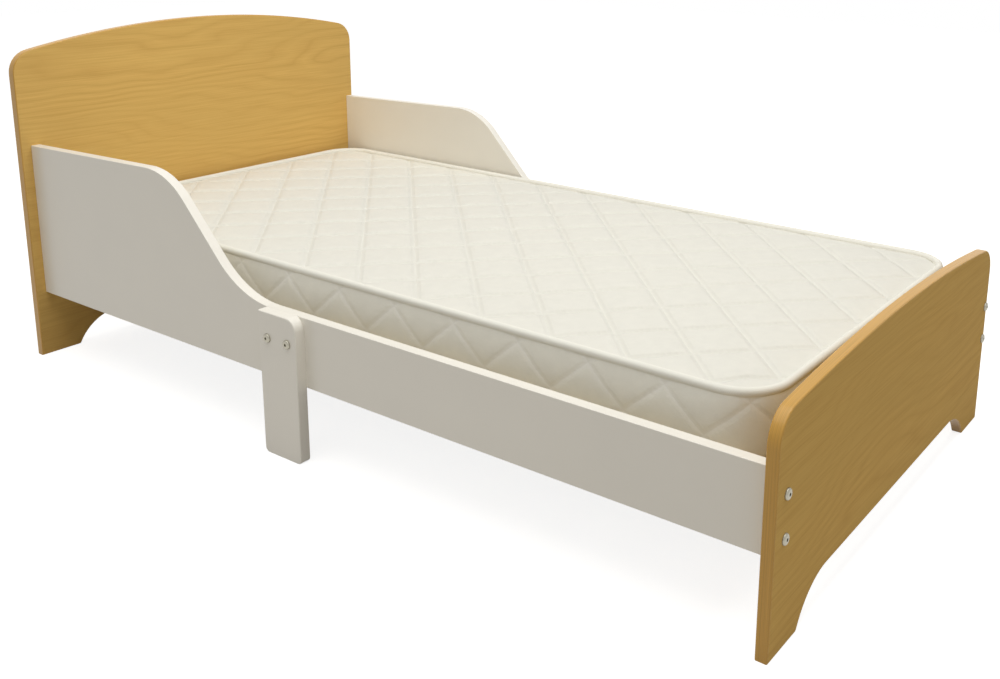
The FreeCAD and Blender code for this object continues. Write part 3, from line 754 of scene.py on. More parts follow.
def quilted_fabric(name, border, cover, thread_and_highlight_tone, groove_depth):
    """Polyester and cotton jersey quilted on wadding: matt with a soft sheen, a thread with a tone
    of its own in a groove, laid wider than the thread as a painted highlight, and small puckers.
    The map is in metres, in the quilting's plane."""
    sheen = {"Sheen Weight": 0.25, "Sheen Roughness": 0.5}
    material, tree, shader = new_material(name, IOR=1.4, Roughness=0.9, **sheen)
    flat = add_node(tree, "ShaderNodeTexCoord", output="UV")
    parts = add_node(tree, "ShaderNodeSeparateXYZ", {"Vector": flat}, output=None).outputs
    pitches, starts = quilting(border)
    place = []
    for part, start, pitch in zip(parts, starts, pitches):
        moved = add_node(tree, "ShaderNodeMath", {0: part, 1: start}, operation="SUBTRACT")
        place.append(add_node(tree, "ShaderNodeMath", {0: moved, 1: pitch}, operation="DIVIDE"))
    # How far, in spacings, the nearest line of each family is, and of both
    near = []
    for way in ("ADD", "SUBTRACT"):
        family = add_node(tree, "ShaderNodeMath", {0: place[0], 1: place[1]}, operation=way)
        near.append(add_node(tree, "ShaderNodeMath", {0: family, 1: 0.5}, operation="PINGPONG"))
    nearest = add_node(tree, "ShaderNodeMath", {0: near[0], 1: near[1]}, operation="MINIMUM")
    spacing = line_spacing(pitches)
    # The thread's tone and a painted highlight: 2.4 mm wide, and faded 4 mm from the middle
    thread = add_node(
        tree, "ShaderNodeValToRGB", {"Fac": nearest},
        stops=[(1.2 * MM / spacing, 1), (4 * MM / spacing, 0)],
    )
    mottle = add_node(tree, "ShaderNodeTexNoise", {"Vector": flat, "Scale": MOTTLE, "Detail": 4})
    fabric = add_node(
        tree, "ShaderNodeValToRGB", {"Fac": mottle},
        stops=[(0.3, tones(cover, 0.975)), (0.7, tones(cover, 1.01))],
    )
    # The band takes the thread's tone: the thread itself, and a painted highlight along the
    # stitching
    tone = add_node(
        tree, "ShaderNodeMix", {0: thread, 6: fabric, 7: thread_and_highlight_tone}, output=2, data_type="RGBA"
    )
    # The puckers are strongest beside the stitching
    puckers = add_node(tree, "ShaderNodeTexNoise", {"Vector": flat, "Scale": PUCKERS, "Detail": 2})
    share = add_node(
        tree, "ShaderNodeValToRGB", {"Fac": nearest}, stops=[(0, 1), (16 * MM / spacing, 0.25)]
    )
    puckers = add_node(tree, "ShaderNodeMath", {0: puckers, 1: share}, operation="MULTIPLY")
    relief = add_node(
        tree, "ShaderNodeBump", {"Height": puckers, "Distance": 0.9 * MM, "Strength": 0.7}
    )
    # The groove is finer than the mesh, and 12 mm wide
    groove = add_node(
        tree, "ShaderNodeValToRGB", {"Fac": nearest}, stops=[(0, 0), (6 * MM / spacing, 1)]
    )
    relief = add_node(
        tree, "ShaderNodeBump",
        {"Height": groove, "Distance": groove_depth, "Strength": 1, "Normal": relief},
    )
    # The knit is drawn at 1.4 mm, which is coarser than real, and is pressed flat by the thread
    knit = weave(tree, flat, 1.4 * MM)
    sewn = add_node(tree, "ShaderNodeMath", {0: knit, 1: thread}, operation="SUBTRACT")
    relief = add_node(
        tree, "ShaderNodeBump",
        {"Height": sewn, "Distance": 0.12 * MM, "Strength": 0.6, "Normal": relief},
    )
    link_surface(tree, shader, tone, relief=relief)
    return material


@once
def quilted_fabric_top(name):
    """The cover's top and underside."""
    cover = tuple(settings().mattress.cover)
    # A hundredth lighter than the cover: the thread's tone and a painted highlight along the lines
    return quilted_fabric(name, False, cover, tones(cover, 1.01), 1.5 * MM)


@once
def quilted_fabric_border(name):
    """The cover's border: the top's fabric, made lighter as painted light on its shade, whose lines
    cross just under its top seam and half a drop below."""
    mattress = settings().mattress
    # A sixth lighter than the top's fabric: painted light against the shade on the border
    cover = tones(tuple(mattress.cover), 1.16)
    # The thread's colour on a band wider than a thread: partly a painted highlight along the lines
    return quilted_fabric(name, True, cover, tuple(mattress.thread), 0.6 * MM)


@once
def piping_tape(name):
    """Cotton tape wrapped round a cord: a plain weave of 1.2 mm, cut on the bias."""
    # The cover's tone made a tenth lighter: painted light against the piping's shade
    tape = tones(tuple(settings().mattress.cover), 1.1)
    material, tree, shader = new_material(name, Roughness=0.8, IOR=1.45)
    height = weave(tree, in_object(tree, turn=(0, 0, math.radians(45))), 1.2 * MM)
    # Darker where the weave dips: painted shade in its hollows
    tone = add_node(
        tree, "ShaderNodeValToRGB", {"Fac": height}, stops=[(0, tones(tape, 0.95)), (1, tape)]
    )
    relief = add_node(
        tree, "ShaderNodeBump", {"Height": height, "Distance": 0.1 * MM, "Strength": 0.6}
    )
    link_surface(tree, shader, tone, relief=relief)
    return material


@once
def mattress_foam(name):
    """Cut polyurethane foam, with open cells of about a millimetre."""
    foam = tuple(settings().mattress.foam)
    material, tree, shader = new_material(name, Roughness=0.95, IOR=1.4)
    cells = add_node(tree, "ShaderNodeTexVoronoi", {"Vector": in_object(tree), "Scale": FOAM_CELLS})
    # Darker in the middle of each cell: painted shade in the open cells' hollows
    tone = add_node(
        tree, "ShaderNodeValToRGB", {"Fac": cells}, stops=[(0, tones(foam, 0.8)), (0.6, foam)]
    )
    relief = add_node(
        tree, "ShaderNodeBump", {"Height": cells, "Distance": 0.4 * MM, "Strength": 0.6}
    )
    link_surface(tree, shader, tone, relief=relief)
    return material


def dress(piece, material, body="frame", replaced=()):
    """Gives a new piece its material, the body that it moves with, and the nodes that it
    stands for."""
    if material:
        piece.data.materials.clear()
        piece.data.materials.append(material)
    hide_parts(*replaced)
    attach(piece, body)


def dress_node(name, material):
    """Gives a node of the frame its material."""
    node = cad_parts[name]
    if not node.data.materials:
        node.data.materials.append(None)
    for number in range(len(node.material_slots)):
        node.material_slots[number].material = material


# The pieces


class BED_OT_end_boards(bpy.types.Operator):
    """Model the headboard and the footboard"""

    bl_idname = "bed.end_boards"
    bl_label = "End Boards"

    def execute(self, context):
        boards = settings().boards
        for name in ("headboard", "footboard"):
            piece = self.board(name, getattr(boards, f"{name}_arch"))
            self.wrap(piece)
            dress(piece, None, replaced=[name])
        return {"FINISHED"}

    def board(self, name, arch):
        """One end board, traced from its arch's middle down one side, mirrored and made thick."""
        boards = settings().boards
        low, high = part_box(name)
        half, top = high.x, high.z
        thickness = high.y - low.y
        outline = Outline("Y", low.y, (0, top))
        # The arch and its shoulder, whose centre lies inside both side and arch
        arch_centre = Vector((0, top - arch))
        rise = math.sqrt((arch - boards.shoulder) ** 2 - (half - boards.shoulder) ** 2)
        shoulder = Vector((half - boards.shoulder, top - arch + rise))
        outline.bend(arch_centre, tuple(arch_centre + (shoulder - arch_centre).normalized() * arch))
        outline.bend(tuple(shoulder), (half, shoulder.y))
        # Down the side to the foot, and round its toe into the cut-out's sweep
        outline.to((half, 0))
        sweep = boards.cutout_sweep
        drop = boards.cutout_height - sweep
        inner = half - boards.foot - math.sqrt(sweep**2 - drop**2)
        centre = Vector((inner, drop))
        reach = math.sqrt((sweep + boards.toe) ** 2 - (boards.toe - drop) ** 2)
        toe = Vector((inner + reach, boards.toe))
        outline.to((toe.x, 0))
        outline.bend(tuple(toe), tuple(centre + (toe - centre).normalized() * sweep))
        outline.bend(tuple(centre), (inner, boards.cutout_height))
        outline.to((0, boards.cutout_height))
        apply_modifier(outline.piece, "MIRROR", merge_threshold=0.05 * MM)
        bpy.ops.object.mode_set(mode="EDIT")
        outline.close(thickness, boards.arris)
        piece = finish_mesh(outline.piece, f"{name}_panel")
        apply_modifier(piece, "WEIGHTED_NORMAL", keep_sharp=True)
        return piece

    def wrap(self, piece):
        """The faces carry the printed figure and the edges the band that is wrapped round them."""
        piece.data.materials.append(beech_effect_board_face())
        piece.data.materials.append(beech_effect_edge_band())
        for face in piece.data.polygons:
            broad = abs(face.normal.y) > 0.98
            face.material_index = 0 if broad else 1


class BED_OT_side_rails(bpy.types.Operator):
    """Model the two side rails with their raised guards"""

    bl_idname = "bed.side_rails"
    bl_label = "Side Rails"

    def execute(self, context):
        for name in ("side_rail_left", "side_rail_right"):
            piece = self.rail(name)
            self.drill_holes(piece, name)
            apply_modifier(piece, "WEIGHTED_NORMAL", keep_sharp=True)
            dress(piece, white_lacquered_board(), replaced=[name])
        return {"FINISHED"}

    def rail(self, name):
        """One rail, traced from its bottom corner at the foot."""
        rails = settings().rails
        low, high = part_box(name)
        outline = Outline("X", low.x, (low.y, low.z))
        outline.to((high.y, low.z))
        outline.to((high.y, rails.guard_at_head))
        dip = (rails.curve_foot, rails.low_top)
        fall = (rails.guard_at_crest - rails.low_top) / math.tan(rails.slope)
        crest = (rails.curve_foot + fall, rails.guard_at_crest)
        outline.round_corner(crest, dip, rails.crest)
        outline.round_corner(dip, (low.y, rails.low_top), rails.dip)
        outline.to((low.y, rails.low_top))
        outline.to((low.y, low.z))
        outline.close(high.x - low.x, rails.arris)
        return finish_mesh(outline.piece, f"{name}_panel")

    def drill_holes(self, piece, name):
        """The holes for the barrel nuts in the inner face, and for the inserts behind the leg."""
        fittings = settings().fittings
        low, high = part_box(name)
        near = name.endswith("left")
        inner = high.x if near else low.x
        places = [
            (end, level)
            for end in (low.y + fittings.barrel_place, high.y - fittings.barrel_place)
            for level in (fittings.upper_bolts, fittings.lower_bolts)
        ]
        if near:
            places += leg_bolt_places()
        for along, level in places:
            centre = (inner, along, level)
            drill(piece, centre, (1, 0, 0), fittings.barrel, fittings.barrel_depth)


def leg_bolt_places():
    """Where the leg's two bolts are, along the bed and up."""
    fittings = settings().fittings
    low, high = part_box("support_leg")
    middle = (low.y + high.y) / 2
    reach = fittings.leg_bolt_spacing / 2
    return [(middle + side * reach, fittings.leg_bolts) for side in (-1, 1)]


class BED_OT_support_leg(bpy.types.Operator):
    """Model the leg on the near rail"""

    bl_idname = "bed.support_leg"
    bl_label = "Support Leg"

    def execute(self, context):
        rails = settings().rails
        low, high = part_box("support_leg")
        outline = Outline("X", low.x, ((low.y + high.y) / 2, 0))
        outline.round_corner((high.y, 0), (high.y, high.z), rails.leg_toe)
        outline.to((high.y, high.z))
        outline.round_corner((low.y, high.z), (low.y, 0), rails.leg_shoulder)
        outline.round_corner((low.y, 0), (high.y, 0), rails.leg_toe)
        outline.to(((low.y + high.y) / 2, 0))
        outline.close(high.x - low.x, rails.leg_arris, rounds_back=False)
        piece = finish_mesh(outline.piece, "support_leg_panel")
        apply_modifier(piece, "WEIGHTED_NORMAL", keep_sharp=True)
        dress(piece, white_lacquered_board(), replaced=["support_leg"])
        return {"FINISHED"}


class BED_OT_bolts(bpy.types.Operator):
    """Model the button-head bolts in the end boards and the leg"""

    bl_idname = "bed.bolts"
    bl_label = "Bolts"

    def execute(self, context):
        fittings = settings().fittings
        pattern = self.bolt(fittings.board_bolt_length)
        short = self.bolt(fittings.leg_bolt_length)
        bolts = []
        for board, way in (("headboard", 1), ("footboard", -1)):
            low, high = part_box(board)
            face = high.y if way > 0 else low.y
            for rail in ("side_rail_left", "side_rail_right"):
                low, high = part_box(rail)
                middle = (low.x + high.x) / 2
                for level in (fittings.upper_bolts, fittings.lower_bolts):
                    bolts.append(self.place(pattern, (middle, face, level), (0, way, 0)))
        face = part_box("support_leg")[0].x
        for along, level in leg_bolt_places():
            bolts.append(self.place(short, (face, along, level), (-1, 0, 0)))
        for used in (pattern, short):
            bpy.data.objects.remove(used)
        piece = join(bolts, "button_head_bolts")
        dress(piece, nickel_plated_steel(), replaced=["frame_bolts"])
        return {"FINISHED"}

    def place(self, pattern, point, way):
        """A copy of a bolt with its head's underside at a point, looking a way."""
        turn = turn_to(way).to_matrix().to_4x4()
        return copy_to(pattern, "bolt", Matrix.Translation(point) @ turn)

    def bolt(self, reach):
        """One bolt that points down: a domed head with a hexagon socket, over its shank."""
        fittings = settings().fittings
        height, radius = fittings.head_height, fittings.head / 2
        dome, chamfer = height * 0.82, 0.6 * MM
        piece = begin(
            bpy.ops.mesh.primitive_cylinder_add,
            vertices=40, radius=radius, depth=height, location=(0, 0, height / 2),
        )
        choose(piece, "edges", lambda edge: all(vert.co.z > height - NEAR for vert in edge.verts))
        bpy.ops.mesh.bevel(offset=dome, segments=7, profile=0.5, affect="EDGES")
        choose(piece, "faces", lambda face: face.normal.z < -0.9)
        bpy.ops.mesh.inset(thickness=radius - fittings.bolt / 2)
        bpy.ops.mesh.extrude_region_move(TRANSFORM_OT_translate={"value": (0, 0, -reach)})
        choose(piece, "edges", lambda edge: all(vert.co.z < NEAR - reach for vert in edge.verts))
        bpy.ops.mesh.bevel(offset=chamfer, segments=1, affect="EDGES")
        bpy.ops.object.mode_set(mode="OBJECT")
        # A hexagon's radius over its width across the flats is 1 to the root of 3
        socket = begin(
            bpy.ops.mesh.primitive_cylinder_add, vertices=6, radius=fittings.socket / math.sqrt(3),
            depth=2 * fittings.socket_depth, location=(0, 0, height),
        )
        bpy.ops.object.mode_set(mode="OBJECT")
        cut(piece, socket)
        bpy.ops.object.mode_set(mode="EDIT")
        return finish_mesh(piece, "bolt_pattern", smooth=40)


class BED_OT_screws(bpy.types.Operator):
    """Model the countersunk screws in the battens and in the two end slats"""

    bl_idname = "bed.screws"
    bl_label = "Screws"

    def execute(self, context):
        base = settings().base
        pattern = self.screw()
        screws = []
        for batten, side in (("ledger_left", 1), ("ledger_right", -1)):
            low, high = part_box(batten)
            face = high.x if side > 0 else low.x
            for number in range(base.batten_screws):
                along = low.y + (high.y - low.y) * (number + 0.5) / base.batten_screws
                turn = turn_to((side, 0, 0)).to_matrix().to_4x4()
                place = Matrix.Translation((face, along, (low.z + high.z) / 2)) @ turn
                screws.append(copy_to(pattern, "screw", place))
        slats = sorted(
            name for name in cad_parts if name.startswith("slat_") and name[5:].isdigit()
        )
        for slat in (slats[0], slats[-1]):
            low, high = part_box(slat)
            for across in (low.x + base.screw_inset, high.x - base.screw_inset):
                place = Matrix.Translation((across, (low.y + high.y) / 2, high.z))
                screws.append(copy_to(pattern, "screw", place))
        bpy.data.objects.remove(pattern)
        piece = join(screws, "countersunk_screws")
        dress(piece, zinc_plated_steel())
        return {"FINISHED"}

    def screw(self):
        """The head of one countersunk screw, nearly flush, with a cross recess."""
        fittings = settings().fittings
        depth = fittings.screw_depth
        tip, arris = 0.45, 0.15 * MM
        piece = begin(
            bpy.ops.mesh.primitive_cylinder_add, vertices=28, radius=fittings.screw / 2,
            depth=depth, location=(0, 0, fittings.screw_proud - depth / 2),
        )
        choose(piece, "faces", lambda face: face.normal.z < -0.9)
        bpy.ops.transform.resize(value=(tip, tip, 1), center_override=(0, 0, 0))
        choose(piece, "edges", lambda edge: all(vert.co.z > 0 for vert in edge.verts))
        bpy.ops.mesh.bevel(offset=arris, segments=2, affect="EDGES")
        bpy.ops.object.mode_set(mode="OBJECT")
        long, wide, deep = fittings.recess, fittings.recess_width, 2 * fittings.recess_depth
        for size in ((long, wide, deep), (wide, long, deep)):
            slot = begin(bpy.ops.mesh.primitive_cube_add, size=1, scale=size)
            bpy.ops.object.mode_set(mode="OBJECT")
            cut(piece, slot)
        bpy.ops.object.select_all(action="DESELECT")
        piece.select_set(True)
        bpy.context.view_layer.objects.active = piece
        bpy.ops.object.mode_set(mode="EDIT")
        return finish_mesh(piece, "screw_pattern")


class BED_OT_base(bpy.types.Operator):
    """Finish the battens, slats, tapes, nuts and dowels of the frame"""

    bl_idname = "bed.base"
    bl_label = "Slatted Base"

    def execute(self, context):
        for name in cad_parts:
            if name.startswith("slat_"):
                dress_node(name, bare_pine_slats())
        for name in ("ledger_left", "ledger_right"):
            dress_node(name, bare_pine_battens())
        dress_node("slat_tapes", woven_tape())
        dress_node("frame_nuts", zinc_plated_steel())
        dress_node("frame_dowels", turned_beech())
        return {"FINISHED"}


# The mattress


class BED_OT_mattress(bpy.types.Operator):
    """Model the quilted mattress cover, with its filling swollen by a cloth simulation"""

    bl_idname = "bed.mattress"
    bl_label = "Mattress"

    def execute(self, context):
        low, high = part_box("mattress_cover")
        self.middle = (low + high) / 2
        self.base = low.z
        self.half = Vector(((high.x - low.x) / 2, (high.y - low.y) / 2))
        piece = self.sheets()
        self.shape(piece)
        self.swell(piece)
        apply_modifier(piece, "SUBSURF", levels=1, render_levels=1)
        self.sew(piece)
        piece.data.transform(Matrix.Translation((self.middle.x, self.middle.y, self.base)))
        for face in piece.data.polygons:
            face.use_smooth = True
        dress(piece, None, "mattress", ["mattress_cover"])
        return {"FINISHED"}

    def rows(self, start, pitch, half):
        """Where the mesh's rows lie between two edges, so that the quilting's crossings fall on
        them, with the number that the first row has in the quilting. No row comes closer to an edge
        than the margin."""
        step = pitch / settings().mattress.cells
        margin = step * 0.6
        first = math.ceil((margin - half - start) / step)
        last = math.floor((half - margin - start) / step)
        places = [start + number * step for number in range(first, last + 1)]
        return [-half] + places + [half], first - 1

    def sheets(self):
        """A top and an underside of even cells, joined by the border."""
        mattress = settings().mattress
        edge = self.half - Vector((mattress.draw, mattress.draw))
        across, self.first_across = self.rows(mattress.start_across, mattress.pitch_across, edge.x)
        along, self.first_along = self.rows(mattress.start_along, mattress.pitch_along, edge.y)
        piece = begin(
            bpy.ops.mesh.primitive_grid_add,
            x_subdivisions=len(across) - 1, y_subdivisions=len(along) - 1, size=2,
        )
        mesh = bmesh.from_edit_mesh(piece.data)
        flat = mesh.loops.layers.uv.verify()
        row = mesh.verts.layers.int.new("row")
        column = mesh.verts.layers.int.new("column")
        for vert in mesh.verts:
            vert[column] = round((vert.co.x + 1) / 2 * (len(across) - 1))
            vert[row] = round((vert.co.y + 1) / 2 * (len(along) - 1))
            vert.co = (across[vert[column]], along[vert[row]], mattress.seam_height)
        for face in mesh.faces:
            for loop in face.loops:
                loop[flat].uv = loop.vert.co.xy
        bmesh.update_edit_mesh(piece.data)
        # The underside is the top's copy, turned over
        bpy.ops.mesh.select_all(action="SELECT")
        bpy.ops.mesh.duplicate_move(TRANSFORM_OT_translate={"value": (0, 0, -mattress.seam_height)})
        bpy.ops.mesh.flip_normals()
        choose(piece, "edges", lambda side: side.is_boundary)
        bpy.ops.mesh.bridge_edge_loops(number_cuts=mattress.border_cuts)
        bpy.ops.mesh.select_all(action="SELECT")
        bpy.ops.mesh.normals_make_consistent(inside=False)
        bpy.ops.object.mode_set(mode="OBJECT")
        piece.name = piece.data.name = "quilted_cover"
        piece.data.materials.append(quilted_fabric_top())
        piece.data.materials.append(quilted_fabric_border())
        return piece

    def shape(self, piece):
        """Rounds the corners in plan, draws the border in at its seams, crowns the top, and maps
        the border."""
        mattress = settings().mattress
        height = mattress.seam_height
        edge = self.half - Vector((mattress.draw, mattress.draw))
        bend = mattress.corner - mattress.draw
        mesh = bmesh.new()
        mesh.from_mesh(piece.data)
        flat = mesh.loops.layers.uv.verify()
        layers = mesh.edges.layers.float
        crease = layers.get("crease_edge") or layers.new("crease_edge")
        border = [face for face in mesh.faces if abs(face.normal.z) < 0.5]
        seams = [
            side for side in mesh.edges
            if len({abs(face.normal.z) < 0.5 for face in side.link_faces}) == 2
        ]
        for side in seams:
            side[crease] = mattress.seam_crease
        for vert in mesh.verts:
            plan = vert.co.xy
            rounded = self.round_off(plan, edge, bend)
            inside = self.to_edge(plan, edge)
            share = vert.co.z / height
            if inside < NEAR:
                # The border bulges close under its seams, where its rows lie closer together
                share = share * share * (3 - 2 * share)
                out = mattress.draw * (1 - abs(2 * share - 1) ** mattress.bulge)
                rounded += self.outward(rounded, edge, bend) * out
                up = mattress.piping + share * (height - mattress.piping)
            elif share > 0.5:
                up = height + mattress.crown * (1 - math.exp(-inside / mattress.crown_reach))
            else:
                up = mattress.piping * math.exp(-inside / mattress.crown_reach)
            vert.co = (rounded.x, rounded.y, up)
        for face in border:
            face.material_index = 1
            middle = self.round_way(face.calc_center_median().xy)
            for loop in face.loops:
                way = self.round_way(loop.vert.co.xy)
                # A face at the border's join takes both its sides from the same turn
                way -= self.perimeter() * round((way - middle) / self.perimeter())
                loop[flat].uv = (way, loop.vert.co.z)
        mesh.to_mesh(piece.data)
        mesh.free()

    def past_straight(self, plan, edge, bend):
        """How far a point lies past the straight parts of the edge, across and along."""
        return Vector([max(abs(plan[axis]) - (edge[axis] - bend), 0) for axis in (0, 1)])

    def round_off(self, plan, edge, bend):
        """A point of the square plan, moved into the plan with rounded corners."""
        over = self.past_straight(plan, edge, bend)
        if min(over) <= 0:
            return plan.copy()
        over *= max(over) / over.length
        return Vector([
            math.copysign(edge[axis] - bend + over[axis], plan[axis]) for axis in (0, 1)
        ])

    def to_edge(self, plan, edge):
        """How far a point of the square plan lies inside its edge."""
        return min(edge.x - abs(plan.x), edge.y - abs(plan.y))

    def outward(self, plan, edge, bend):
        """The way out of the rounded plan at a point of its edge."""
        over = self.past_straight(plan, edge, bend)
        return Vector([math.copysign(over[axis], plan[axis]) for axis in (0, 1)]).normalized()

    def perimeter(self):
        """The way once round the border."""
        corner = settings().mattress.corner
        return 4 * (self.half.x + self.half.y - 2 * corner) + 2 * math.pi * corner

    def round_way(self, plan):
        """The way round the border from the middle of the near side, growing towards the head
        there."""
        corner = settings().mattress.corner
        across, along = self.half.x - corner, self.half.y - corner
        x = min(max(plan.x, -across), across)
        y = min(max(plan.y, -along), along)
        turn = math.atan2(plan.y - y, -(plan.x - x)) if (plan.x - x or plan.y - y) else 0
        quarter = math.pi / 2 * corner
        if plan.x < 0 and abs(turn) <= math.pi / 2 and abs(y) < along:
            return y
        sign = 1 if plan.y > 0 else -1
        if abs(y) < along - TINY:
            # The far side
            return sign * (along + 2 * quarter + 2 * across + along - abs(y))
        if x <= -across + TINY:
            # A near corner
            return sign * along + turn * corner
        if x < across - TINY:
            # An end
            return sign * (along + quarter + x + across)
        # A far corner
        return sign * (along + quarter + 2 * across) + sign * (abs(turn) - math.pi / 2) * corner

    def swell(self, piece):
        """Swells the filling by a cloth simulation, held at the seams, the stitching and the
        underside."""
        mattress = settings().mattress
        held = piece.vertex_groups.new(name="held")
        rows = piece.data.attributes["row"].data
        columns = piece.data.attributes["column"].data
        height = mattress.seam_height
        still = []
        for vert in piece.data.vertices:
            across = columns[vert.index].value + self.first_across
            along = rows[vert.index].value + self.first_along
            sewn = any(line % mattress.cells == 0 for line in (across + along, across - along))
            on_top = vert.co.z > height + NEAR
            at_seam = abs(vert.co.z - height) < NEAR
            if vert.co.z < mattress.piping + NEAR or at_seam or (on_top and sewn):
                still.append(vert.index)
        held.add(still, 1.0, "REPLACE")
        before = [vert.co.copy() for vert in piece.data.vertices]
        cloth = piece.modifiers.new("Cloth", "CLOTH")
        cloth.settings.quality = 5
        cloth.settings.mass = 0.3
        cloth.settings.vertex_group_mass = held.name
        cloth.settings.use_pressure = True
        cloth.settings.uniform_pressure_force = 6
        cloth.settings.effector_weights.gravity = 0
        cloth.point_cache.frame_start = 1
        cloth.point_cache.frame_end = 20
        for moment in range(cloth.point_cache.frame_start, cloth.point_cache.frame_end + 1):
            bpy.context.scene.frame_set(moment)
        bpy.context.view_layer.objects.active = piece
        bpy.ops.object.modifier_apply(modifier=cloth.name)
        bpy.context.scene.frame_set(1)
        # No point moves further than the puff, however far the pressure took it
        for vert, old in zip(piece.data.vertices, before):
            moved = vert.co - old
            if moved.length > 0:
                share = math.tanh(moved.length / mattress.puff)
                vert.co = old + moved.normalized() * mattress.puff * share

    def sew(self, piece):
        """Deepens the channels along the stitching, and leaves the fabric a little uneven."""
        mattress = settings().mattress
        cells = 28  # of the fabric's unevenness in a metre, 36 mm each
        uv = piece.data.uv_layers[0].data
        edge = self.half - Vector((mattress.draw, mattress.draw))
        spots = {}
        for face in piece.data.polygons:
            for corner, index in zip(face.loop_indices, face.vertices):
                spots.setdefault(index, (uv[corner].uv.copy(), face.material_index))
        normals = [vert.normal.copy() for vert in piece.data.vertices]
        depths = []
        for vert in piece.data.vertices:
            place, border = spots[vert.index]
            pitch, start = quilting(border)
            first, second = ((place[axis] - start[axis]) / pitch[axis] for axis in (0, 1))
            lines = (first + second, first - second)
            nearest = min(abs(math.remainder(line, 1)) for line in lines) * line_spacing(pitch)
            depth = mattress.channel * math.exp(-((nearest / mattress.channel_reach) ** 2))
            if border:
                depth *= mattress.border_channel / mattress.channel
            elif normals[vert.index].z < 0:
                depth = 0
            else:
                # The channels run out at the piping
                inside = max(self.to_edge(place, edge), 0)
                depth *= 1 - math.exp(-inside / (2 * mattress.crown_reach))
            wander = mattress.uneven * noise.noise(Vector((*place, border)) * cells)
            vert.co += normals[vert.index] * (wander - depth)
            depths.append(0 if border else depth)
        self.crease(piece, depths)

    def crease(self, piece, depths):
        """Splits each cell that a channel crosses along the channel, so that its bottom is one
        straight line."""
        mesh = bmesh.new()
        mesh.from_mesh(piece.data)
        for face in list(mesh.faces):
            corners = list(face.verts)
            first, second = (
                sum(depths[vert.index] for vert in corners[side::2]) for side in (0, 1)
            )
            if len(corners) == 4 and abs(first - second) > NEAR / 10:
                side = 0 if first > second else 1
                bmesh.utils.face_split(face, corners[side], corners[side + 2])
        mesh.to_mesh(piece.data)
        mesh.free()


class BED_OT_piping(bpy.types.Operator):
    """Model the piping round the mattress's two seams, and the foam inside the cover"""

    bl_idname = "bed.piping"
    bl_label = "Piping and Foam"

    def execute(self, context):
        for name in ("mattress_piping_top", "mattress_piping_bottom"):
            piece = self.bead(name)
            dress(piece, piping_tape(), "mattress", [name])
        piece = self.foam()
        dress(piece, mattress_foam(), "mattress", ["mattress_core"])
        return {"FINISHED"}

    def rounded_plane(self, low, high, level, radius):
        """A rounded rectangle of one face, in edit mode."""
        size = high - low
        centre = ((low.x + high.x) / 2, (low.y + high.y) / 2, level)
        piece = begin(bpy.ops.mesh.primitive_plane_add, size=1, location=centre)
        bpy.ops.transform.resize(value=(size.x, size.y, 1), center_override=centre)
        bpy.ops.mesh.select_all(action="SELECT")
        bpy.ops.mesh.bevel(offset=radius, segments=14, affect="VERTICES")
        return piece

    def bead(self, name):
        """A round bead along a seam."""
        mattress = settings().mattress
        low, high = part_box(name)
        inset = Vector((mattress.piping, mattress.piping, 0))
        corner = mattress.corner - mattress.piping
        level = max((low.z + high.z) / 2, low.z + mattress.piping)
        self.rounded_plane(low + inset, high - inset, level, corner)
        bpy.ops.mesh.delete(type="ONLY_FACE")
        bpy.ops.object.mode_set(mode="OBJECT")
        bpy.ops.object.convert(target="CURVE")
        line = bpy.context.object
        line.data.bevel_depth = mattress.piping
        line.data.bevel_resolution = 3
        bpy.ops.object.convert(target="MESH")
        piece = bpy.context.object
        bpy.ops.object.mode_set(mode="EDIT")
        return finish_mesh(piece, f"{name}_bead", smooth=60)

    def foam(self):
        """The foam block, with its cut edges just broken."""
        mattress = settings().mattress
        low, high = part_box("mattress_core")
        corner = mattress.corner - mattress.foam_inset
        piece = self.rounded_plane(low, high, low.z, corner)
        rise = (0, 0, high.z - low.z)
        bpy.ops.mesh.extrude_region_move(TRANSFORM_OT_translate={"value": rise})
        bpy.ops.mesh.select_all(action="SELECT")
        bpy.ops.mesh.normals_make_consistent(inside=False)
        choose(
            piece, "edges", lambda side: any(abs(face.normal.z) > 0.9 for face in side.link_faces)
        )
        bpy.ops.mesh.bevel(offset=mattress.foam_arris, segments=2, affect="EDGES")
        return finish_mesh(piece, "foam_block")


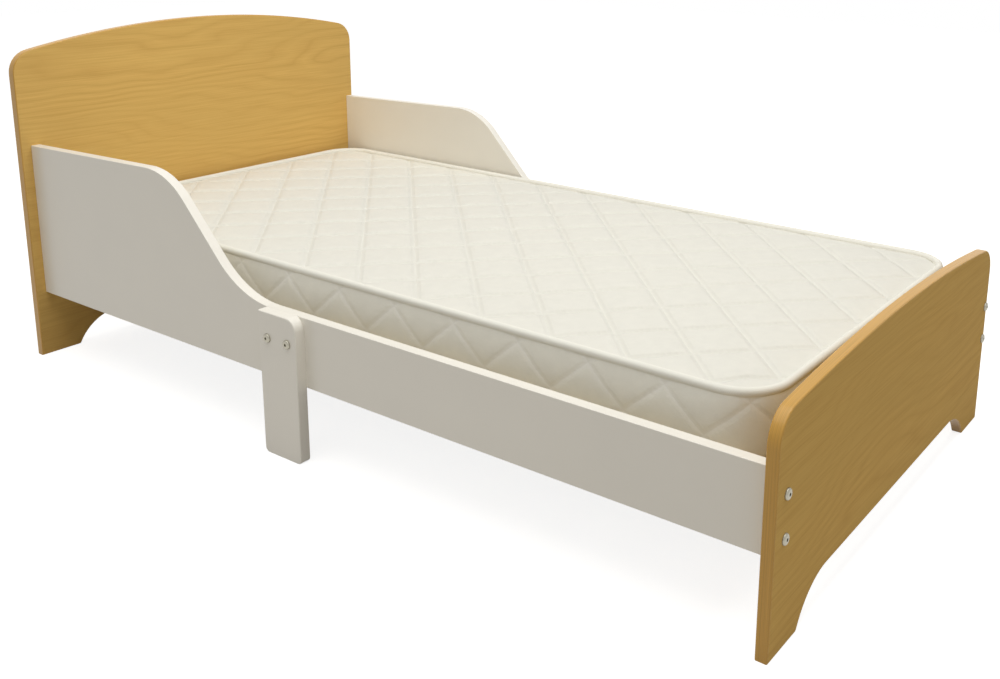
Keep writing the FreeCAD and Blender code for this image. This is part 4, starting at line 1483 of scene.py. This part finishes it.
class BED_OT_stage(bpy.types.Operator):
    """Set up the floor, the lamps, the background and the camera"""

    bl_idname = "bed.stage"
    bl_label = "Stage"

    def execute(self, context):
        self.floor()
        self.world()
        stage = settings().stage
        self.lamp(
            "key_lamp", stage.key, place=(-0.35, -0.1, 2.7), target=(0, 0, 0.2), size=(2.8, 2.8)
        )
        self.lamp(
            "foot_lamp", stage.foot,
            place=(0.1, -0.62, 1.9), target=(0, 0.45, 0.25), size=(0.8, 0.8),
        )
        self.camera()
        context.scene.view_settings.view_transform = "Standard"
        return {"FINISHED"}

    def floor(self):
        """A plain pale floor, which the camera sees as white apart from the bed's soft shadow."""
        stage = settings().stage
        floor = begin(bpy.ops.mesh.primitive_plane_add, size=stage.floor_size)
        bpy.ops.object.mode_set(mode="OBJECT")
        floor.name = floor.data.name = "studio_floor"
        material = bpy.data.materials.new("painted_floor")
        material.use_nodes = True
        tree = material.node_tree
        tree.nodes.clear()
        paint = add_node(tree, "ShaderNodeBsdfDiffuse", {"Color": tuple(stage.floor)})
        glow = {"Color": tuple(stage.shown), "Strength": stage.glow}
        lit = add_node(tree, "ShaderNodeEmission", glow)
        bright = add_node(tree, "ShaderNodeAddShader", {0: paint, 1: lit})
        mixed = self.for_camera(tree, paint, bright)
        add_node(tree, "ShaderNodeOutputMaterial", {"Surface": mixed}, output=None)
        floor.data.materials.append(material)

    def for_camera(self, tree, plain, shown):
        """The plain shader for the light, and the shown one for what the camera and mirrors see."""
        path = add_node(tree, "ShaderNodeLightPath", output=None).outputs
        seen = path["Is Camera Ray"]
        for kind in ("Is Glossy Ray", "Is Transmission Ray"):
            seen = add_node(tree, "ShaderNodeMath", {0: seen, 1: path[kind]}, operation="MAXIMUM")
        return add_node(tree, "ShaderNodeMixShader", {0: seen, 1: plain, 2: shown})

    def world(self):
        """An even room, white behind the bed."""
        stage = settings().stage
        world = bpy.data.worlds.new("studio")
        bpy.context.scene.world = world
        world.use_nodes = True
        tree = world.node_tree
        tree.nodes.clear()
        even = {"Color": tuple(stage.room), "Strength": stage.fill}
        room = add_node(tree, "ShaderNodeBackground", even)
        white = add_node(tree, "ShaderNodeBackground", {"Color": (1, 1, 1, 1), "Strength": 1})
        mixed = self.for_camera(tree, room, white)
        add_node(tree, "ShaderNodeOutputWorld", {"Surface": mixed}, output=None)

    def lamp(self, name, power, place, target, size):
        """A soft rectangular lamp that looks at a point."""
        lamp = bpy.data.lights.new(name, "AREA")
        lamp.energy = power
        lamp.shape = "RECTANGLE"
        lamp.size, lamp.size_y = size
        holder = bpy.data.objects.new(name, lamp)
        bpy.context.collection.objects.link(holder)
        holder.location = place
        look = Vector(target) - Vector(place)
        holder.rotation_euler = look.to_track_quat("-Z", "Y").to_euler()

    def camera(self):
        """The camera, placed by its turn round the bed, its tilt and its lean."""
        stage = settings().stage
        back = Vector((
            math.sin(stage.azimuth) * math.cos(stage.elevation),
            -math.cos(stage.azimuth) * math.cos(stage.elevation),
            math.sin(stage.elevation),
        ))
        level = Vector((math.cos(stage.azimuth), math.sin(stage.azimuth), 0))
        up = back.cross(level)
        right = level * math.cos(stage.roll) + up * math.sin(stage.roll)
        camera = bpy.data.cameras.new("camera")
        camera.lens = stage.lens
        camera.shift_x, camera.shift_y = stage.shift
        holder = bpy.data.objects.new("camera", camera)
        bpy.context.collection.objects.link(holder)
        turn = Matrix((right, back.cross(right), back)).transposed().to_4x4()
        holder.matrix_world = Matrix.Translation(stage.place) @ turn
        bpy.context.scene.camera = holder


OPERATORS = (
    BED_OT_stage,
    BED_OT_end_boards,
    BED_OT_side_rails,
    BED_OT_support_leg,
    BED_OT_bolts,
    BED_OT_screws,
    BED_OT_base,
    BED_OT_mattress,
    BED_OT_piping,
)


class BED_PT_bed(bpy.types.Panel):
    """The bed's pieces and stage"""

    bl_idname = "BED_PT_bed"
    bl_label = "Toddler Bed"
    bl_space_type = "VIEW_3D"
    bl_region_type = "UI"
    bl_category = "Bed"

    def draw(self, context):
        for operator in OPERATORS:
            self.layout.operator(operator.bl_idname)


GROUPS = (
    BoardSettings,
    RailSettings,
    FittingSettings,
    MattressSettings,
    BaseSettings,
    StageSettings,
    BedSettings,
)


def register():
    """Registers the settings, the operators and the panel."""
    for group in GROUPS + OPERATORS + (BED_PT_bed,):
        bpy.utils.register_class(group)
    bpy.types.Scene.toddler_bed = PointerProperty(type=BedSettings)


def unregister():
    """Takes the settings, the operators and the panel off again."""
    del bpy.types.Scene.toddler_bed
    for group in reversed(GROUPS + OPERATORS + (BED_PT_bed,)):
        bpy.utils.unregister_class(group)


def main():
    """Makes the whole bed."""
    register()
    bpy.ops.bed.stage()
    bpy.ops.bed.end_boards()
    bpy.ops.bed.side_rails()
    bpy.ops.bed.support_leg()
    bpy.ops.bed.bolts()
    bpy.ops.bed.screws()
    bpy.ops.bed.base()
    bpy.ops.bed.mattress()
    bpy.ops.bed.piping()


if __name__ == "__main__":
    main()
